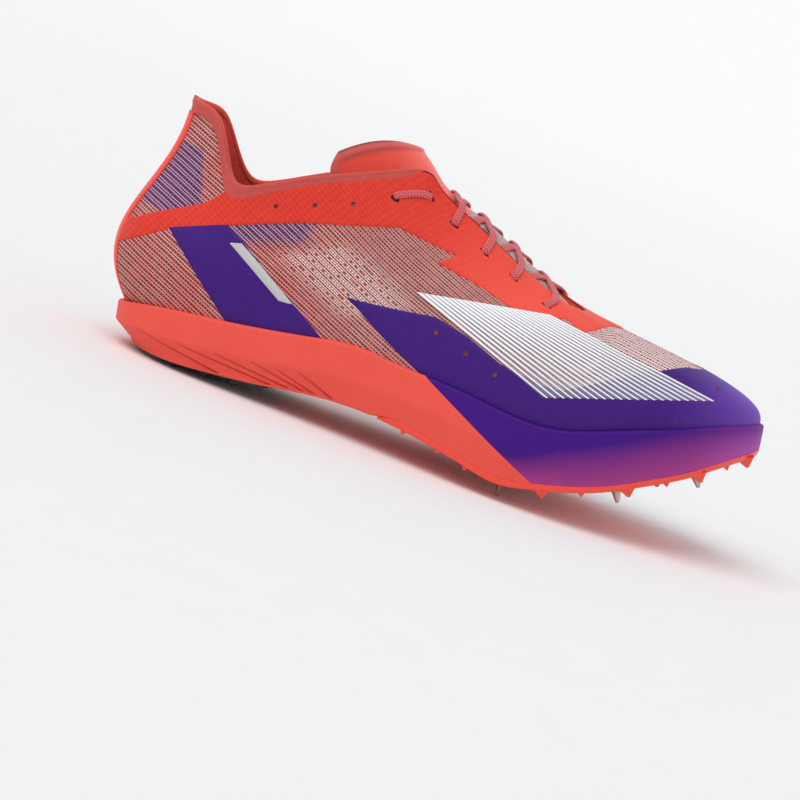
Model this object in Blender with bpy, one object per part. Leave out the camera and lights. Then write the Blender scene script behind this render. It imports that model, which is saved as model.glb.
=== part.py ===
"""Cross country running spike, right shoe, real size.

Frame: +X to the toe, +Y to the inner (medial) side, +Z up. The origin is on the floor under the middle
of the shoe. Tables are in millimetres and degrees; meshes are in metres.
"""
import math

import bmesh
import bpy
import numpy as np

MM = 0.001

# Driving sizes, in millimetres.
SEAM_GAP = 0.3
UPPER_WALL = 1.8
RIM_LEDGE = 2.6
RIM_ROUND = 1.0
INSOLE_THICKNESS = 3.0
INSOLE_CLEARANCE = 1.2
PLATE_THICKNESS = 2.4
PLATE_REAR_X = -12.0
PLATE_RAMP = 14.0
HEEL_PAD_THICKNESS = 1.4
HEEL_PAD_INSET = 2.5
HEEL_PAD_FRONT_X = -52.0
BIG_TOOTH_WIDTH = 7.0
BIG_TOOTH_HEIGHT = 3.4
SMALL_TOOTH_WIDTH = 3.6
SMALL_TOOTH_HEIGHT = 1.7
TOOTH_FLAT = 1.6
TOOTH_ROOT = 0.7
SPIKE_FLANGE_RADIUS = 4.0
SPIKE_FLANGE_HEIGHT = 1.2
SPIKE_PIN_RADIUS = 2.1
SPIKE_TIP_RADIUS = 0.8
SPIKE_LENGTH = 6.0
SPIKE_SIDES = 16
TONGUE_THICKNESS = 2.6
LACE_WIDTH = 3.4
LACE_THICKNESS = 1.3
LACE_LIFT = 1.6
TUCK_AHEAD = 5.0
TAPE_THICKNESS = 1.0
TAPE_GAP = 0.6
TAPE_TOP = 0.955
LOOP_STEPS = 84
WALL_STEPS = 12

# Sections of the upper from the toe tip round to the back of the heel, one row for both sides.
# feather: line where the wall meets the sole; edge: line of the collar and throat; back: how far the
# medial edge lies behind the lateral one; rise, splay: pull of the wall at the feather and its lean
# outward; drop, lean: pull of the wall at the edge and its lean inward.
STATION_COLUMNS = (
    "name", "feather_x", "feather_lateral", "feather_medial",
    "edge_x", "edge_lateral", "edge_medial", "edge_z", "back",
    "rise", "splay", "drop", "lean",
)
STATIONS = (
    ("toe tip", 137.0, 10.0, 10.0, 53.0, 1.0, 1.0, 80.6, 0.0, 12, 8, 46, 84),
    ("toe corner", 132.2, -5.5, 24.5, 51.5, -5.0, 7.0, 80.6, 0.0, 12, 8, 44, 82),
    ("toe side", 119.0, -21.0, 35.0, 48.5, -9.0, 11.0, 81.2, 0.0, 13, 8, 40, 78),
    ("little toe", 95.5, -35.0, 42.5, 41.0, -12.0, 13.5, 83.3, 0.0, 16, 8, 36, 70),
    ("fore ball", 68.0, -43.5, 45.6, 30.0, -13.5, 15.0, 87.4, 0.0, 20, 6, 34, 62),
    ("ball", 40.0, -45.8, 43.0, 16.0, -14.5, 15.5, 93.2, 1.0, 24, 4, 32, 52),
    ("rear ball", 13.0, -43.0, 36.0, 1.0, -15.5, 16.0, 100.0, 2.5, 26, 2, 30, 42),
    ("waist", -8.0, -39.5, 31.3, -16.5, -17.5, 17.5, 108.0, 4.5, 26, 0, 28, 34),
    ("instep", -28.0, -36.8, 28.8, -25.0, -20.5, 20.5, 113.0, 5.0, 26, 0, 26, 22),
    ("quarter", -50.0, -34.8, 28.6, -45.0, -25.5, 25.5, 105.3, 4.5, 24, 2, 24, 14),
    ("ankle", -72.0, -33.6, 29.8, -70.0, -28.5, 28.5, 93.6, 4.0, 24, 6, 22, 8),
    ("heel front", -90.0, -32.6, 30.8, -88.0, -28.0, 28.0, 83.8, 4.0, 25, 10, 22, 4),
    ("heel dip", -103.0, -30.0, 29.6, -98.5, -25.0, 25.0, 82.3, 4.0, 27, 15, 22, 2),
    ("heel turn", -113.0, -25.8, 25.8, -106.2, -20.5, 20.5, 91.5, 4.5, 31, 24, 28, -2),
    ("tab side", -121.5, -19.3, 19.3, -115.2, -16.0, 16.0, 103.4, 4.0, 36, 33, 34, -5),
    ("tab corner", -128.0, -9.8, 9.8, -126.0, -9.0, 9.0, 106.4, 1.0, 40.5, 39.5, 37, -8),
    ("heel back", -130.5, 0.0, 0.0, -130.5, 0.0, 0.0, 106.6, 0.0, 42, 41.3, 38, -8),
)

# Side profile of the sole: x, height of its upper rim.
RIM_PROFILE = (
    (-133.0, 16.5), (-115.0, 21.5), (-80.0, 27.6), (-45.0, 34.2), (-24.0, 37.6), (-8.0, 37.0), (15.0, 37.0),
    (45.0, 35.0), (60.0, 35.3), (72.0, 38.2), (90.0, 44.8), (110.0, 51.8), (124.0, 57.0), (139.0, 61.0),
)
# Side profile of the sole: x, height of its underside with heel, arch, ball and toe spring.
UNDER_PROFILE = (
    (-122.0, 2.2), (-103.0, 2.3), (-82.0, 4.4), (-61.0, 7.2), (-46.0, 10.0), (-27.0, 12.7), (-10.0, 13.3),
    (4.0, 12.6), (21.0, 10.8), (35.0, 8.4), (48.0, 6.8), (60.0, 9.0), (70.0, 11.6), (92.0, 19.3),
    (103.0, 25.0), (118.5, 33.6), (130.0, 41.5), (142.0, 49.0),
)
# Side wall of the midsole: share of the way round from toe to heel, how far the waist line and the
# bottom edge stand out from the feather line, and the waist line's share of the height.
SIDE_COLUMNS = ("turn", "waist_out", "floor_out", "waist_share")
SIDE_ROWS = (
    (0.00, 3.4, 4.0, 0.45),
    (0.06, 3.1, 2.6, 0.45),
    (0.14, 3.0, 1.4, 0.45),
    (0.26, 2.8, 0.2, 0.45),
    (0.36, 2.6, -1.0, 0.42),
    (0.43, 2.4, -3.0, 0.42),
    (0.475, 1.8, -6.5, 0.42),
    (0.50, 1.0, -8.5, 0.42),
)
# Tongue: centre line of its upper face, half width, and where its sides lie from the centre.
TONGUE_COLUMNS = ("name", "x", "z", "half_width", "side_x", "side_z")
TONGUE_ROWS = (
    ("root", 62.0, 75.0, 12.0, 0.0, -5.0),
    ("throat front", 46.0, 80.8, 16.0, 0.0, -9.0),
    ("throat", 24.0, 91.5, 19.5, -2.0, -11.5),
    ("throat top", 0.0, 101.5, 21.0, -8.0, -14.0),
    ("instep", -16.0, 107.4, 22.0, -24.0, -19.0),
    ("collar", -26.0, 115.0, 22.5, -35.0, -18.0),
    ("top", -35.0, 121.0, 22.0, -24.5, -9.6),
)
# How far the tongue is cut back at its top corners, as a share of its length, and how far its top leans up
# toward the lateral side.
TONGUE_CORNER = 0.05
TONGUE_TILT = 1.2
# Lace holes on the wall: share of the way round, share of the way up.
EYELET_COLUMNS = ("name", "turn", "up")
EYELETS = (
    ("eyelet 1", 0.151, 0.824),
    ("eyelet 2", 0.188, 0.868),
    ("eyelet 3", 0.2265, 0.884),
    ("eyelet 4", 0.257, 0.898),
    ("eyelet 5", 0.2868, 0.914),
    ("eyelet 6", 0.3213, 0.832),
)
# Spikes: place of the flange on the plate's underside.
SPIKE_COLUMNS = ("name", "x", "y")
SPIKES = (
    ("spike_rear_lateral", 49.0, -32.0),
    ("spike_mid_lateral", 92.5, -22.0),
    ("spike_front_lateral", 120.0, -6.0),
    ("spike_rear_medial", 49.0, 32.0),
    ("spike_mid_medial", 92.5, 29.0),
    ("spike_front_medial", 120.0, 18.0),
)
# Teeth of the spike plate: x, distance in from the edge (both sides), big or small.
PLATE_TEETH_COLUMNS = ("x", "inset", "big")
PLATE_TEETH = (
    (5.0, 2.2, False), (21.0, 2.4, False), (34.0, 2.4, False), (66.0, 4.0, True), (81.0, 2.6, False),
    (97.5, 4.0, True), (111.0, 3.0, False), (122.0, 4.0, True), (131.0, 3.0, False),
    (64.0, 24.0, True), (78.0, 30.0, True), (106.0, 26.0, True), (137.5, 4.0, True),
)
# Teeth of the heel pad: x, and which of them are big.
HEEL_TEETH_COLUMNS = ("x", "big")
HEEL_TEETH = (
    (-105.0, False), (-98.0, True), (-90.5, False), (-84.0, True), (-77.0, False), (-71.0, True),
    (-65.0, False), (-59.5, True),
)
HEEL_TOOTH_SHARES = (0.125, 0.38, 0.62, 0.875)

COLOURS = {
    "upper": (0.62, 0.25, 0.21),
    "tongue": (0.78, 0.10, 0.06),
    "insole": (0.05, 0.05, 0.06),
    "midsole": (0.80, 0.11, 0.08),
    "plate": (0.82, 0.08, 0.05),
    "rubber": (0.06, 0.06, 0.07),
    "steel": (0.70, 0.68, 0.66),
    "lace": (0.74, 0.12, 0.15),
}


def column(columns, rows, name):
    """One named column of a table."""
    return np.array([row[columns.index(name)] for row in rows], dtype=float)


def cubic(knots, values, period=None):
    """Smooth curve through table rows, open (natural ends) or closed with the given period."""
    knots = np.asarray(knots, dtype=float)
    values = np.asarray(values, dtype=float)
    values = values.reshape(len(values), -1)
    if period:
        knots = np.append(knots, knots[0] + period)
        values = np.vstack([values, values[:1]])
    count = len(knots)
    step = np.diff(knots)
    slope = np.diff(values, axis=0) / step[:, None]
    matrix = np.zeros((count, count))
    right = np.zeros(values.shape)
    for i in range(1, count - 1):
        matrix[i, i - 1:i + 2] = step[i - 1], 2 * (step[i - 1] + step[i]), step[i]
        right[i] = 6 * (slope[i] - slope[i - 1])
    if period:
        matrix[0, 0], matrix[0, -1] = 1, -1
        matrix[-1, 0], matrix[-1, 1] = 2 * step[0], step[0]
        matrix[-1, -2], matrix[-1, -1] = step[-1], 2 * step[-1]
        right[-1] = 6 * (slope[0] - slope[-1])
    else:
        matrix[0, 0] = matrix[-1, -1] = 1
    bend = np.linalg.solve(matrix, right)

    def curve(at):
        at = np.asarray(at, dtype=float)
        if period:
            at = knots[0] + np.mod(at - knots[0], period)
        i = np.clip(np.searchsorted(knots, at, side="right") - 1, 0, count - 2)
        gap = step[i][..., None]
        a = (knots[i + 1] - at)[..., None] / gap
        b = 1 - a
        bow = (a**3 - a) * bend[i] + (b**3 - b) * bend[i + 1]
        return a * values[i] + b * values[i + 1] + bow * gap**2 / 6

    return curve


rim_curve = cubic(*zip(*RIM_PROFILE))
under_curve = cubic(*zip(*UNDER_PROFILE))


def rim_height(x):
    return rim_curve(x)[..., 0]


def under_height(x):
    return under_curve(x)[..., 0]


# Turn: 0 at the toe tip, 0.5 at the back of the heel by the lateral side, on to 1 by the medial side.
station = {name: column(STATION_COLUMNS, STATIONS, name) for name in STATION_COLUMNS[1:]}
chords = np.hypot(np.diff(station["feather_x"]), np.diff(station["feather_lateral"]))
half_turns = np.concatenate([[0.0], np.cumsum(chords)]) / chords.sum() / 2
station_turns = np.concatenate([half_turns, 1 - half_turns[-2:0:-1]])


def round_loop(lateral, medial):
    """Closed curve over the turn from columns of the lateral side and of the medial side."""
    rows = np.vstack([np.array(lateral).T, np.array(medial).T[-2:0:-1]])
    return cubic(station_turns, rows, 1.0)


feather_curve = round_loop(
    [station["feather_x"], station["feather_lateral"]],
    [station["feather_x"], station["feather_medial"]],
)
edge_curve = round_loop(
    [station["edge_x"], station["edge_lateral"], station["edge_z"]],
    [station["edge_x"] - station["back"], station["edge_medial"], station["edge_z"]],
)
pulls = [station[name] for name in ("rise", "splay", "drop", "lean")]
pull_curve = round_loop(pulls, pulls)
side = {name: column(SIDE_COLUMNS, SIDE_ROWS, name) for name in SIDE_COLUMNS}
side_curve = cubic(side["turn"], np.array([side[name] for name in SIDE_COLUMNS[1:]]).T)
tongue_table = np.array([row[1:] for row in TONGUE_ROWS], dtype=float)
tongue_curve = cubic(np.linspace(0, 1, len(TONGUE_ROWS)), tongue_table)


def outward(turn):
    """Level direction out of the shoe at the feather line."""
    run = feather_curve(turn + 1e-4) - feather_curve(turn - 1e-4)
    normal = np.stack([-run[..., 1], run[..., 0], np.zeros(run.shape[:-1])], axis=-1)
    return normal / np.linalg.norm(normal, axis=-1, keepdims=True)


def wall(turn, up):
    """Outer face of the upper: up is 0 at the feather line and 1 at the collar or throat edge."""
    turn, up = np.broadcast_arrays(np.asarray(turn, dtype=float), np.asarray(up, dtype=float))
    flat = feather_curve(turn)
    foot = np.concatenate([flat, rim_height(flat[..., 0])[..., None] + SEAM_GAP], axis=-1)
    edge = edge_curve(turn)
    pull = pull_curve(turn)
    rise, drop = pull[..., 0:1], pull[..., 2:3]
    splay, lean = np.radians(pull[..., 1:2]), np.radians(pull[..., 3:4])
    out = outward(turn)
    inward = (edge - foot) * (1, 1, 0) - 12.0 * out
    inward = inward / np.linalg.norm(inward, axis=-1, keepdims=True)
    above = np.array((0.0, 0.0, 1.0))
    low = foot + rise * (np.cos(splay) * above + np.sin(splay) * out)
    high = edge - drop * (np.cos(lean) * above + np.sin(lean) * inward)
    t = up[..., None]
    return (1 - t)**3 * foot + 3 * (1 - t)**2 * t * low + 3 * (1 - t) * t**2 * high + t**3 * edge


def wall_normal(turn, up):
    """Outward normal of the upper's outer face."""
    e = 1e-3
    up = np.clip(up, e, 1 - e)
    across = wall(turn + e, up) - wall(turn - e, up)
    along = wall(turn, up + e) - wall(turn, up - e)
    normal = np.cross(along, across)
    return normal / np.linalg.norm(normal, axis=-1, keepdims=True)


def side_at(turn):
    """Row of the midsole's side table at a turn on either side."""
    return side_curve(0.5 - np.abs(np.mod(turn, 1.0) - 0.5))


def level_loop(turn, out, height, lift=0.0):
    """Closed line round the sole, standing out from the feather line, at a height given along x."""
    line = feather_curve(turn) + outward(turn)[..., :2] * np.reshape(out, (-1, 1))
    return np.column_stack([line, height(line[:, 0]) + lift])


def plate_ramp(x):
    """0 behind the spike plate, 1 where it has its full thickness."""
    share = np.clip((x - PLATE_REAR_X) / PLATE_RAMP, 0, 1)
    return share * share * (3 - 2 * share)


def midsole_under(x):
    ramp = plate_ramp(x)
    return under_height(x) + ramp * PLATE_THICKNESS + np.clip(5 * ramp, 0, 1) * SEAM_GAP


def tongue_face(along, across):
    """Upper face of the tongue: along is 0 at the root and 1 at the top; across runs from -1 to 1."""
    row = tongue_curve(along * (1 - TONGUE_CORNER * np.abs(across)**6))
    x = row[..., 0] + row[..., 3] * np.abs(across)**2
    z = row[..., 1] + row[..., 4] * np.abs(across)**3 - TONGUE_TILT * along**10 * across
    return np.stack([x, row[..., 2] * across, z], axis=-1)


def tongue_height(x, y):
    """Height of the tongue's upper face over a place in plan."""
    along = np.linspace(0, 1, 400)
    face = tongue_face(along, np.clip(y / tongue_curve(along)[:, 2], -1, 1))
    return float(np.interp(-x, -face[:, 0], face[:, 2]))


def make_material(name, roughness=0.7, metallic=0.0):
    material = bpy.data.materials.new(name)
    material.use_nodes = True
    shader = material.node_tree.nodes["Principled BSDF"]
    shader.inputs["Base Color"].default_value = (*COLOURS[name], 1.0)
    shader.inputs["Roughness"].default_value = roughness
    shader.inputs["Metallic"].default_value = metallic
    return material


def add_object(name, points, faces, material, smooth=True, sheet=False):
    """Object from points in millimetres; the faces of a closed body are turned outward."""
    mesh = bpy.data.meshes.new(name)
    mesh.from_pydata([tuple(p) for p in np.asarray(points) * MM], [], faces)
    if not sheet:
        body = bmesh.new()
        body.from_mesh(mesh)
        bmesh.ops.recalc_face_normals(body, faces=body.faces)
        body.to_mesh(mesh)
        body.free()
    mesh.update()
    mesh.materials.append(material)
    mesh.polygons.foreach_set("use_smooth", [smooth] * len(mesh.polygons))
    thing = bpy.data.objects.new(name, mesh)
    bpy.context.scene.collection.objects.link(thing)
    thing.parent = shoe
    return thing


def grid_faces(rows, columns, closed=False):
    """Quads of a grid of points stored row by row; a closed grid joins its last row to its first."""
    faces = []
    for i in range(rows if closed else rows - 1):
        k = (i + 1) % rows
        for j in range(columns - 1):
            faces.append((i * columns + j, k * columns + j, k * columns + j + 1, i * columns + j + 1))
    return faces


def stacked_solid(name, loops, material):
    """Solid from closed lines stacked from the lowest up, with flat strips across its two ends."""
    count = len(loops[0])
    half = count // 2
    faces = []
    for level in range(len(loops) - 1):
        low, high = level * count, (level + 1) * count
        for i in range(count):
            k = (i + 1) % count
            faces.append((low + i, high + i, high + k, low + k))
    for base, flip in ((0, False), ((len(loops) - 1) * count, True)):
        strips = [(0, 1, count - 1), (half - 1, half, half + 1)]
        strips += [(i, i + 1, count - i) for i in range(1, half - 1)]
        strips += [(i + 1, count - i - 1, count - i) for i in range(1, half - 1)]
        for strip in strips:
            strip = tuple(base + i for i in strip)
            faces.append(tuple(reversed(strip)) if flip else strip)
    return add_object(name, np.vstack(loops), faces, material)


def solidify(thing, thickness, offset):
    shell = thing.modifiers.new("wall", "SOLIDIFY")
    shell.thickness = thickness * MM
    shell.offset = offset
    shell.use_even_offset = True
    shell.use_rim = True
    return thing


def add_boolean(thing, cutter, operation):
    cutter.hide_render = True
    cutter.display_type = "WIRE"
    step = thing.modifiers.new(cutter.name, "BOOLEAN")
    step.object = cutter
    step.operation = operation
    step.solver = "EXACT"


def slope_at(x):
    """Rise of the underside per unit of length."""
    return float(under_height(np.array(x + 2.0)) - under_height(np.array(x - 2.0))) / 4.0


def tooth_points(x, y, height, width, level):
    """Pyramid tooth: a square root sunk in the underside and a small square flat at the tip.

    A level tooth points straight down and stops at the floor; another stands square to the underside.
    """
    square = np.array([(-1, -1), (1, -1), (1, 1), (-1, 1)], dtype=float)
    root = np.column_stack([square * width / 2 + (x, y), np.zeros(4)])
    root[:, 2] = under_height(root[:, 0]) + TOOTH_ROOT
    base = float(under_height(np.array(x)))
    slope = 0.0 if level else slope_at(x)
    size = math.hypot(slope, 1.0)
    depth = min(height, base) if level else height
    centre = np.array((x + depth * slope / size, y, base - depth / size))
    ahead = np.array((1.0, 0.0, slope)) / size
    aside = np.array((0.0, 1.0, 0.0))
    tip = centre + TOOTH_FLAT / 2 * (square[:, :1] * ahead + square[:, 1:] * aside)
    return np.vstack([root, tip])


def add_teeth(name, teeth, material):
    """Many pyramid teeth in one mesh."""
    faces = []
    for k in range(len(teeth)):
        b = 8 * k
        faces.append((b, b + 1, b + 2, b + 3))
        faces.append((b + 7, b + 6, b + 5, b + 4))
        for i in range(4):
            j = (i + 1) % 4
            faces.append((b + i, b + 4 + i, b + 4 + j, b + j))
    return add_object(name, np.vstack(teeth), faces, material, smooth=False)


def ribbon(name, path, normals, material):
    """Flat lace along a path, its broad face turned to the given normals."""
    path = np.asarray(path)
    run = np.gradient(path, axis=0)
    run = run / np.linalg.norm(run, axis=1, keepdims=True)
    broad = np.cross(normals, run)
    broad = broad / np.linalg.norm(broad, axis=1, keepdims=True)
    thick = np.cross(run, broad)
    corners = [(p * a, q * b) for a, b in ((0.5, 0.3), (0.3, 0.5)) for p in (-1, 1) for q in (-1, 1)]
    corners.sort(key=lambda c: math.atan2(c[1], c[0]))
    rings = [path + broad * LACE_WIDTH * a + thick * LACE_THICKNESS * b for a, b in corners]
    points = np.stack(rings, axis=1).reshape(-1, 3)
    size = len(corners)
    faces = []
    for i in range(len(path) - 1):
        for j in range(size):
            k = (j + 1) % size
            faces.append((i * size + j, i * size + k, (i + 1) * size + k, (i + 1) * size + j))
    faces.append(tuple(reversed(range(size))))
    last = (len(path) - 1) * size
    faces.append(tuple(range(last, last + size)))
    return add_object(name, points, faces, material, smooth=False)


def edge_turn(x, medial):
    """Turn at which the throat edge of one side lies at x."""
    along = np.linspace(0.05, 0.35, 200)
    along = 1 - along if medial else along
    places = edge_curve(along)[:, 0]
    order = np.argsort(places)
    return float(np.interp(x, places[order], along[order]))


def over_throat(lower, higher, from_medial, reach):
    """Path of a strand that leaves one eyelet square to the eyestay, crosses the tongue and ends short of the
    other edge, just ahead of the next eyelet there."""
    start_turn = 1 - lower[1] if from_medial else lower[1]
    next_turn = higher[1] if from_medial else 1 - higher[1]
    start_up = lower[2]
    over_turn = edge_turn(float(wall(start_turn, start_up)[0]), from_medial)
    end_turn = edge_turn(float(wall(next_turn, higher[2])[0]) + TUCK_AHEAD, not from_medial)
    share = np.array((0.0, 0.5, 0.97))
    turns = start_turn + (over_turn - start_turn) * share
    ups = start_up + (1 - start_up) * share
    first = wall(turns, ups) + LACE_LIFT * wall_normal(turns, ups)
    edge_start, edge_end = edge_curve(over_turn), edge_curve(end_turn)
    middle = 0.5 * (edge_start + edge_end)
    last = middle + (edge_end - middle) * reach
    middle[2] = tongue_height(middle[0], middle[1]) + LACE_LIFT + 1.2
    last[2] = tongue_height(last[0], last[1]) + LACE_LIFT + 1.0
    knots = np.vstack([first, middle[None], last[None]])
    spans = np.linalg.norm(np.diff(knots, axis=0), axis=1)
    places = np.concatenate([[0], np.cumsum(spans)]) / spans.sum()
    path = cubic(places, knots)(np.linspace(0, 1, 12))
    slope = np.array((0.40, 0.0, 0.92))
    tilt = np.clip(path[:, 1:2] / 30.0, -1, 1) * np.array((0.0, 1.0, 0.0))
    normals = slope + tilt
    return path, normals / np.linalg.norm(normals, axis=1, keepdims=True)


for old in list(bpy.data.objects):
    bpy.data.objects.remove(old, do_unlink=True)

shoe = bpy.data.objects.new("shoe", None)
bpy.context.scene.collection.objects.link(shoe)

upper_material = make_material("upper", 0.8)
tongue_material = make_material("tongue", 0.7)
insole_material = make_material("insole", 0.9)
midsole_material = make_material("midsole", 0.6)
plate_material = make_material("plate", 0.4)
rubber_material = make_material("rubber", 0.7)
steel_material = make_material("steel", 0.3, 1.0)
lace_material = make_material("lace", 0.85)

turns = np.arange(LOOP_STEPS) / LOOP_STEPS

# Midsole: moulded foam with a rounded upper rim, bevelled heel and a pocket for the heel pad.
side_rows = side_at(turns)
floor_line = level_loop(turns, side_rows[:, 1], midsole_under)
rim_line = level_loop(turns, np.full(LOOP_STEPS, RIM_LEDGE), rim_height, -RIM_ROUND)
top_line = level_loop(turns, np.full(LOOP_STEPS, RIM_LEDGE - RIM_ROUND), rim_height)
waist_line = level_loop(turns, side_rows[:, 0], rim_height)
waist_line[:, 2] = floor_line[:, 2] + side_rows[:, 2] * (rim_line[:, 2] - floor_line[:, 2])
midsole = stacked_solid("midsole", [floor_line, waist_line, rim_line, top_line], midsole_material)

# Heel pad: strips run across it; its outline lies inside the bottom edge, with a straight front.
def pad_solid(name, grow, low, high, material):
    """Pad under the heel, grown all round, between two heights that follow the underside."""
    rows = np.linspace(0.5 - 0.002, 0.33, 32)
    out = side_at(rows)[:, 1:2] - HEEL_PAD_INSET + grow
    lateral = feather_curve(rows) + outward(rows)[:, :2] * out
    medial = feather_curve(1 - rows) + outward(1 - rows)[:, :2] * out
    inside = lateral[:, 0] < HEEL_PAD_FRONT_X
    lateral, medial = lateral[inside], medial[inside]
    x = lateral[:, 0]
    x[0] -= grow
    x[-1] += grow
    count = len(x)
    points = []
    for lift in (low, high):
        z = under_height(x) + lift
        points.append(np.column_stack([x, lateral[:, 1], z]))
        points.append(np.column_stack([x, medial[:, 1], z]))
    faces = [(0, 2 * count, 3 * count, count), (count - 1, 2 * count - 1, 4 * count - 1, 3 * count - 1)]
    for i in range(count - 1):
        faces.append((i, count + i, count + i + 1, i + 1))
        faces.append((2 * count + i, 2 * count + i + 1, 3 * count + i + 1, 3 * count + i))
        faces.append((i, i + 1, 2 * count + i + 1, 2 * count + i))
        faces.append((count + i, 3 * count + i, 3 * count + i + 1, count + i + 1))
    return add_object(name, np.vstack(points), faces, material, smooth=False)


pocket = pad_solid("heel_pocket", SEAM_GAP, -4.0, HEEL_PAD_THICKNESS + SEAM_GAP, midsole_material)
add_boolean(midsole, pocket, "DIFFERENCE")

# Heel outsole: thin rubber pad in the pocket with rows of pyramid teeth.
heel_outsole = pad_solid("heel_outsole", 0.0, 0.0, HEEL_PAD_THICKNESS, rubber_material)
tooth_turns = np.linspace(0.498, 0.33, 60)
tooth_out = side_at(tooth_turns)[:, 1:2] - HEEL_PAD_INSET
pad_lateral = feather_curve(tooth_turns) + outward(tooth_turns)[:, :2] * tooth_out
pad_medial = feather_curve(1 - tooth_turns) + outward(1 - tooth_turns)[:, :2] * tooth_out
heel_teeth = []
for x, big in HEEL_TEETH:
    width, height = (BIG_TOOTH_WIDTH, BIG_TOOTH_HEIGHT) if big else (SMALL_TOOTH_WIDTH, SMALL_TOOTH_HEIGHT)
    lateral_y, medial_y = (float(np.interp(x, *line[:, :2].T)) for line in (pad_lateral, pad_medial))
    for share in HEEL_TOOTH_SHARES:
        y = lateral_y + (medial_y - lateral_y) * share
        heel_teeth.append(tooth_points(x, y, height, width, True))
add_boolean(heel_outsole, add_teeth("heel_teeth", heel_teeth, rubber_material), "UNION")

# Spike plate: thin stiff plate under the forefoot, tapered toward the arch, with moulded teeth.
plate_turns = np.arange(-LOOP_STEPS // 3, LOOP_STEPS // 3 + 1) / LOOP_STEPS
plate_out = side_at(plate_turns)[:, 1]
plate_low = level_loop(plate_turns, plate_out, under_height)
plate_high = plate_low.copy()
plate_high[:, 2] += plate_ramp(plate_low[:, 0]) * PLATE_THICKNESS
keep = plate_low[:, 0] > PLATE_REAR_X + 0.3 * PLATE_RAMP
plate_low, plate_high = plate_low[keep], plate_high[keep]
edge_count = len(plate_low)
plate_faces = []
for base, flip in ((0, True), (edge_count, False)):
    middle = edge_count // 2
    strips = [(middle - 1, middle, middle + 1)]
    strips += [(middle - i, middle + i, middle + i + 1) for i in range(1, middle)]
    strips += [(middle - i, middle + i + 1, middle - i - 1) for i in range(1, middle)]
    for strip in strips:
        strip = tuple(base + i for i in strip)
        plate_faces.append(tuple(reversed(strip)) if flip else strip)
for i in range(edge_count - 1):
    plate_faces.append((i, i + 1, edge_count + i + 1, edge_count + i))
plate_faces.append((edge_count - 1, 0, edge_count, 2 * edge_count - 1))
spike_plate = add_object("spike_plate", np.vstack([plate_low, plate_high]), plate_faces, plate_material)
plate_half_line = plate_low[edge_count // 2:]
plate_other_line = plate_low[:edge_count // 2 + 1]


def plate_edge(x, lateral):
    """Sideways place of the plate's edge at x."""
    line = plate_half_line if lateral else plate_other_line
    order = np.argsort(line[:, 0])
    return float(np.interp(x, line[order, 0], line[order, 1]))


plate_teeth = []
for x, inset, big in PLATE_TEETH:
    width, height = (BIG_TOOTH_WIDTH, BIG_TOOTH_HEIGHT) if big else (SMALL_TOOTH_WIDTH, SMALL_TOOTH_HEIGHT)
    for lateral in (True, False):
        y = plate_edge(x, lateral) + (inset if lateral else -inset)
        plate_teeth.append(tooth_points(x, y, height, width, False))
add_boolean(spike_plate, add_teeth("plate_teeth", plate_teeth, plate_material), "UNION")

# Spikes: turned pins with a flange, square to the plate; the rear pair reaches the floor.
for name, x, y in SPIKES:
    base = np.array((x, y, float(under_height(np.array(x)))))
    slope = 0.0 if "rear" in name else slope_at(x)
    down = np.array((slope, 0.0, -1.0)) / math.hypot(slope, 1.0)
    ahead = np.array((-down[2], 0.0, down[0]))
    aside = np.array((0.0, 1.0, 0.0))
    start = SEAM_GAP + 0.15
    length = base[2] - start if "rear" in name else SPIKE_LENGTH
    profile = (
        (SPIKE_FLANGE_RADIUS, start),
        (SPIKE_FLANGE_RADIUS, start + SPIKE_FLANGE_HEIGHT * 0.6),
        (SPIKE_FLANGE_RADIUS * 0.8, start + SPIKE_FLANGE_HEIGHT),
        (SPIKE_PIN_RADIUS, start + SPIKE_FLANGE_HEIGHT + 0.3),
        (SPIKE_TIP_RADIUS, start + length),
    )
    angles = np.arange(SPIKE_SIDES) / SPIKE_SIDES * math.tau
    points = []
    for radius, depth in profile:
        for angle in angles:
            points.append(base + down * depth + radius * (math.cos(angle) * ahead + math.sin(angle) * aside))
    last = (len(profile) - 1) * SPIKE_SIDES
    faces = [tuple(range(SPIKE_SIDES)), tuple(reversed(range(last, last + SPIKE_SIDES)))]
    for i in range(len(profile) - 1):
        for j in range(SPIKE_SIDES):
            k = (j + 1) % SPIKE_SIDES
            low, high = i * SPIKE_SIDES, (i + 1) * SPIKE_SIDES
            faces.append((low + k, low + j, high + j, high + k))
    add_object(name, points, faces, steel_material, smooth=False)

# Insole: foam sheet on the midsole inside the upper.
insole_out = np.full(LOOP_STEPS, -(UPPER_WALL + INSOLE_CLEARANCE))
insole_low = level_loop(turns, insole_out, rim_height, SEAM_GAP)
insole_high = insole_low + (0.0, 0.0, INSOLE_THICKNESS)
stacked_solid("insole", [insole_low, insole_high], insole_material)

# Upper: hollow lasted shell, open at the collar, the throat and underneath.
ups = np.linspace(0, 1, WALL_STEPS)
turn_grid, up_grid = np.meshgrid(turns, ups, indexing="ij")
upper_points = wall(turn_grid, up_grid).reshape(-1, 3)
upper_faces = [face[::-1] for face in grid_faces(LOOP_STEPS, WALL_STEPS, closed=True)]
upper = add_object("upper", upper_points, upper_faces, upper_material, sheet=True)
solidify(upper, UPPER_WALL, -1.0)

# Tongue: thin padded strip under the throat, bowed over the instep.
along_grid, across_grid = np.meshgrid(np.linspace(0, 1, 25), np.linspace(-1, 1, 11), indexing="ij")
tongue_points = tongue_face(along_grid, across_grid).reshape(-1, 3)
tongue = add_object("tongue", tongue_points, grid_faces(25, 11), tongue_material, sheet=True)
solidify(tongue, TONGUE_THICKNESS, 1.0)

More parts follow.
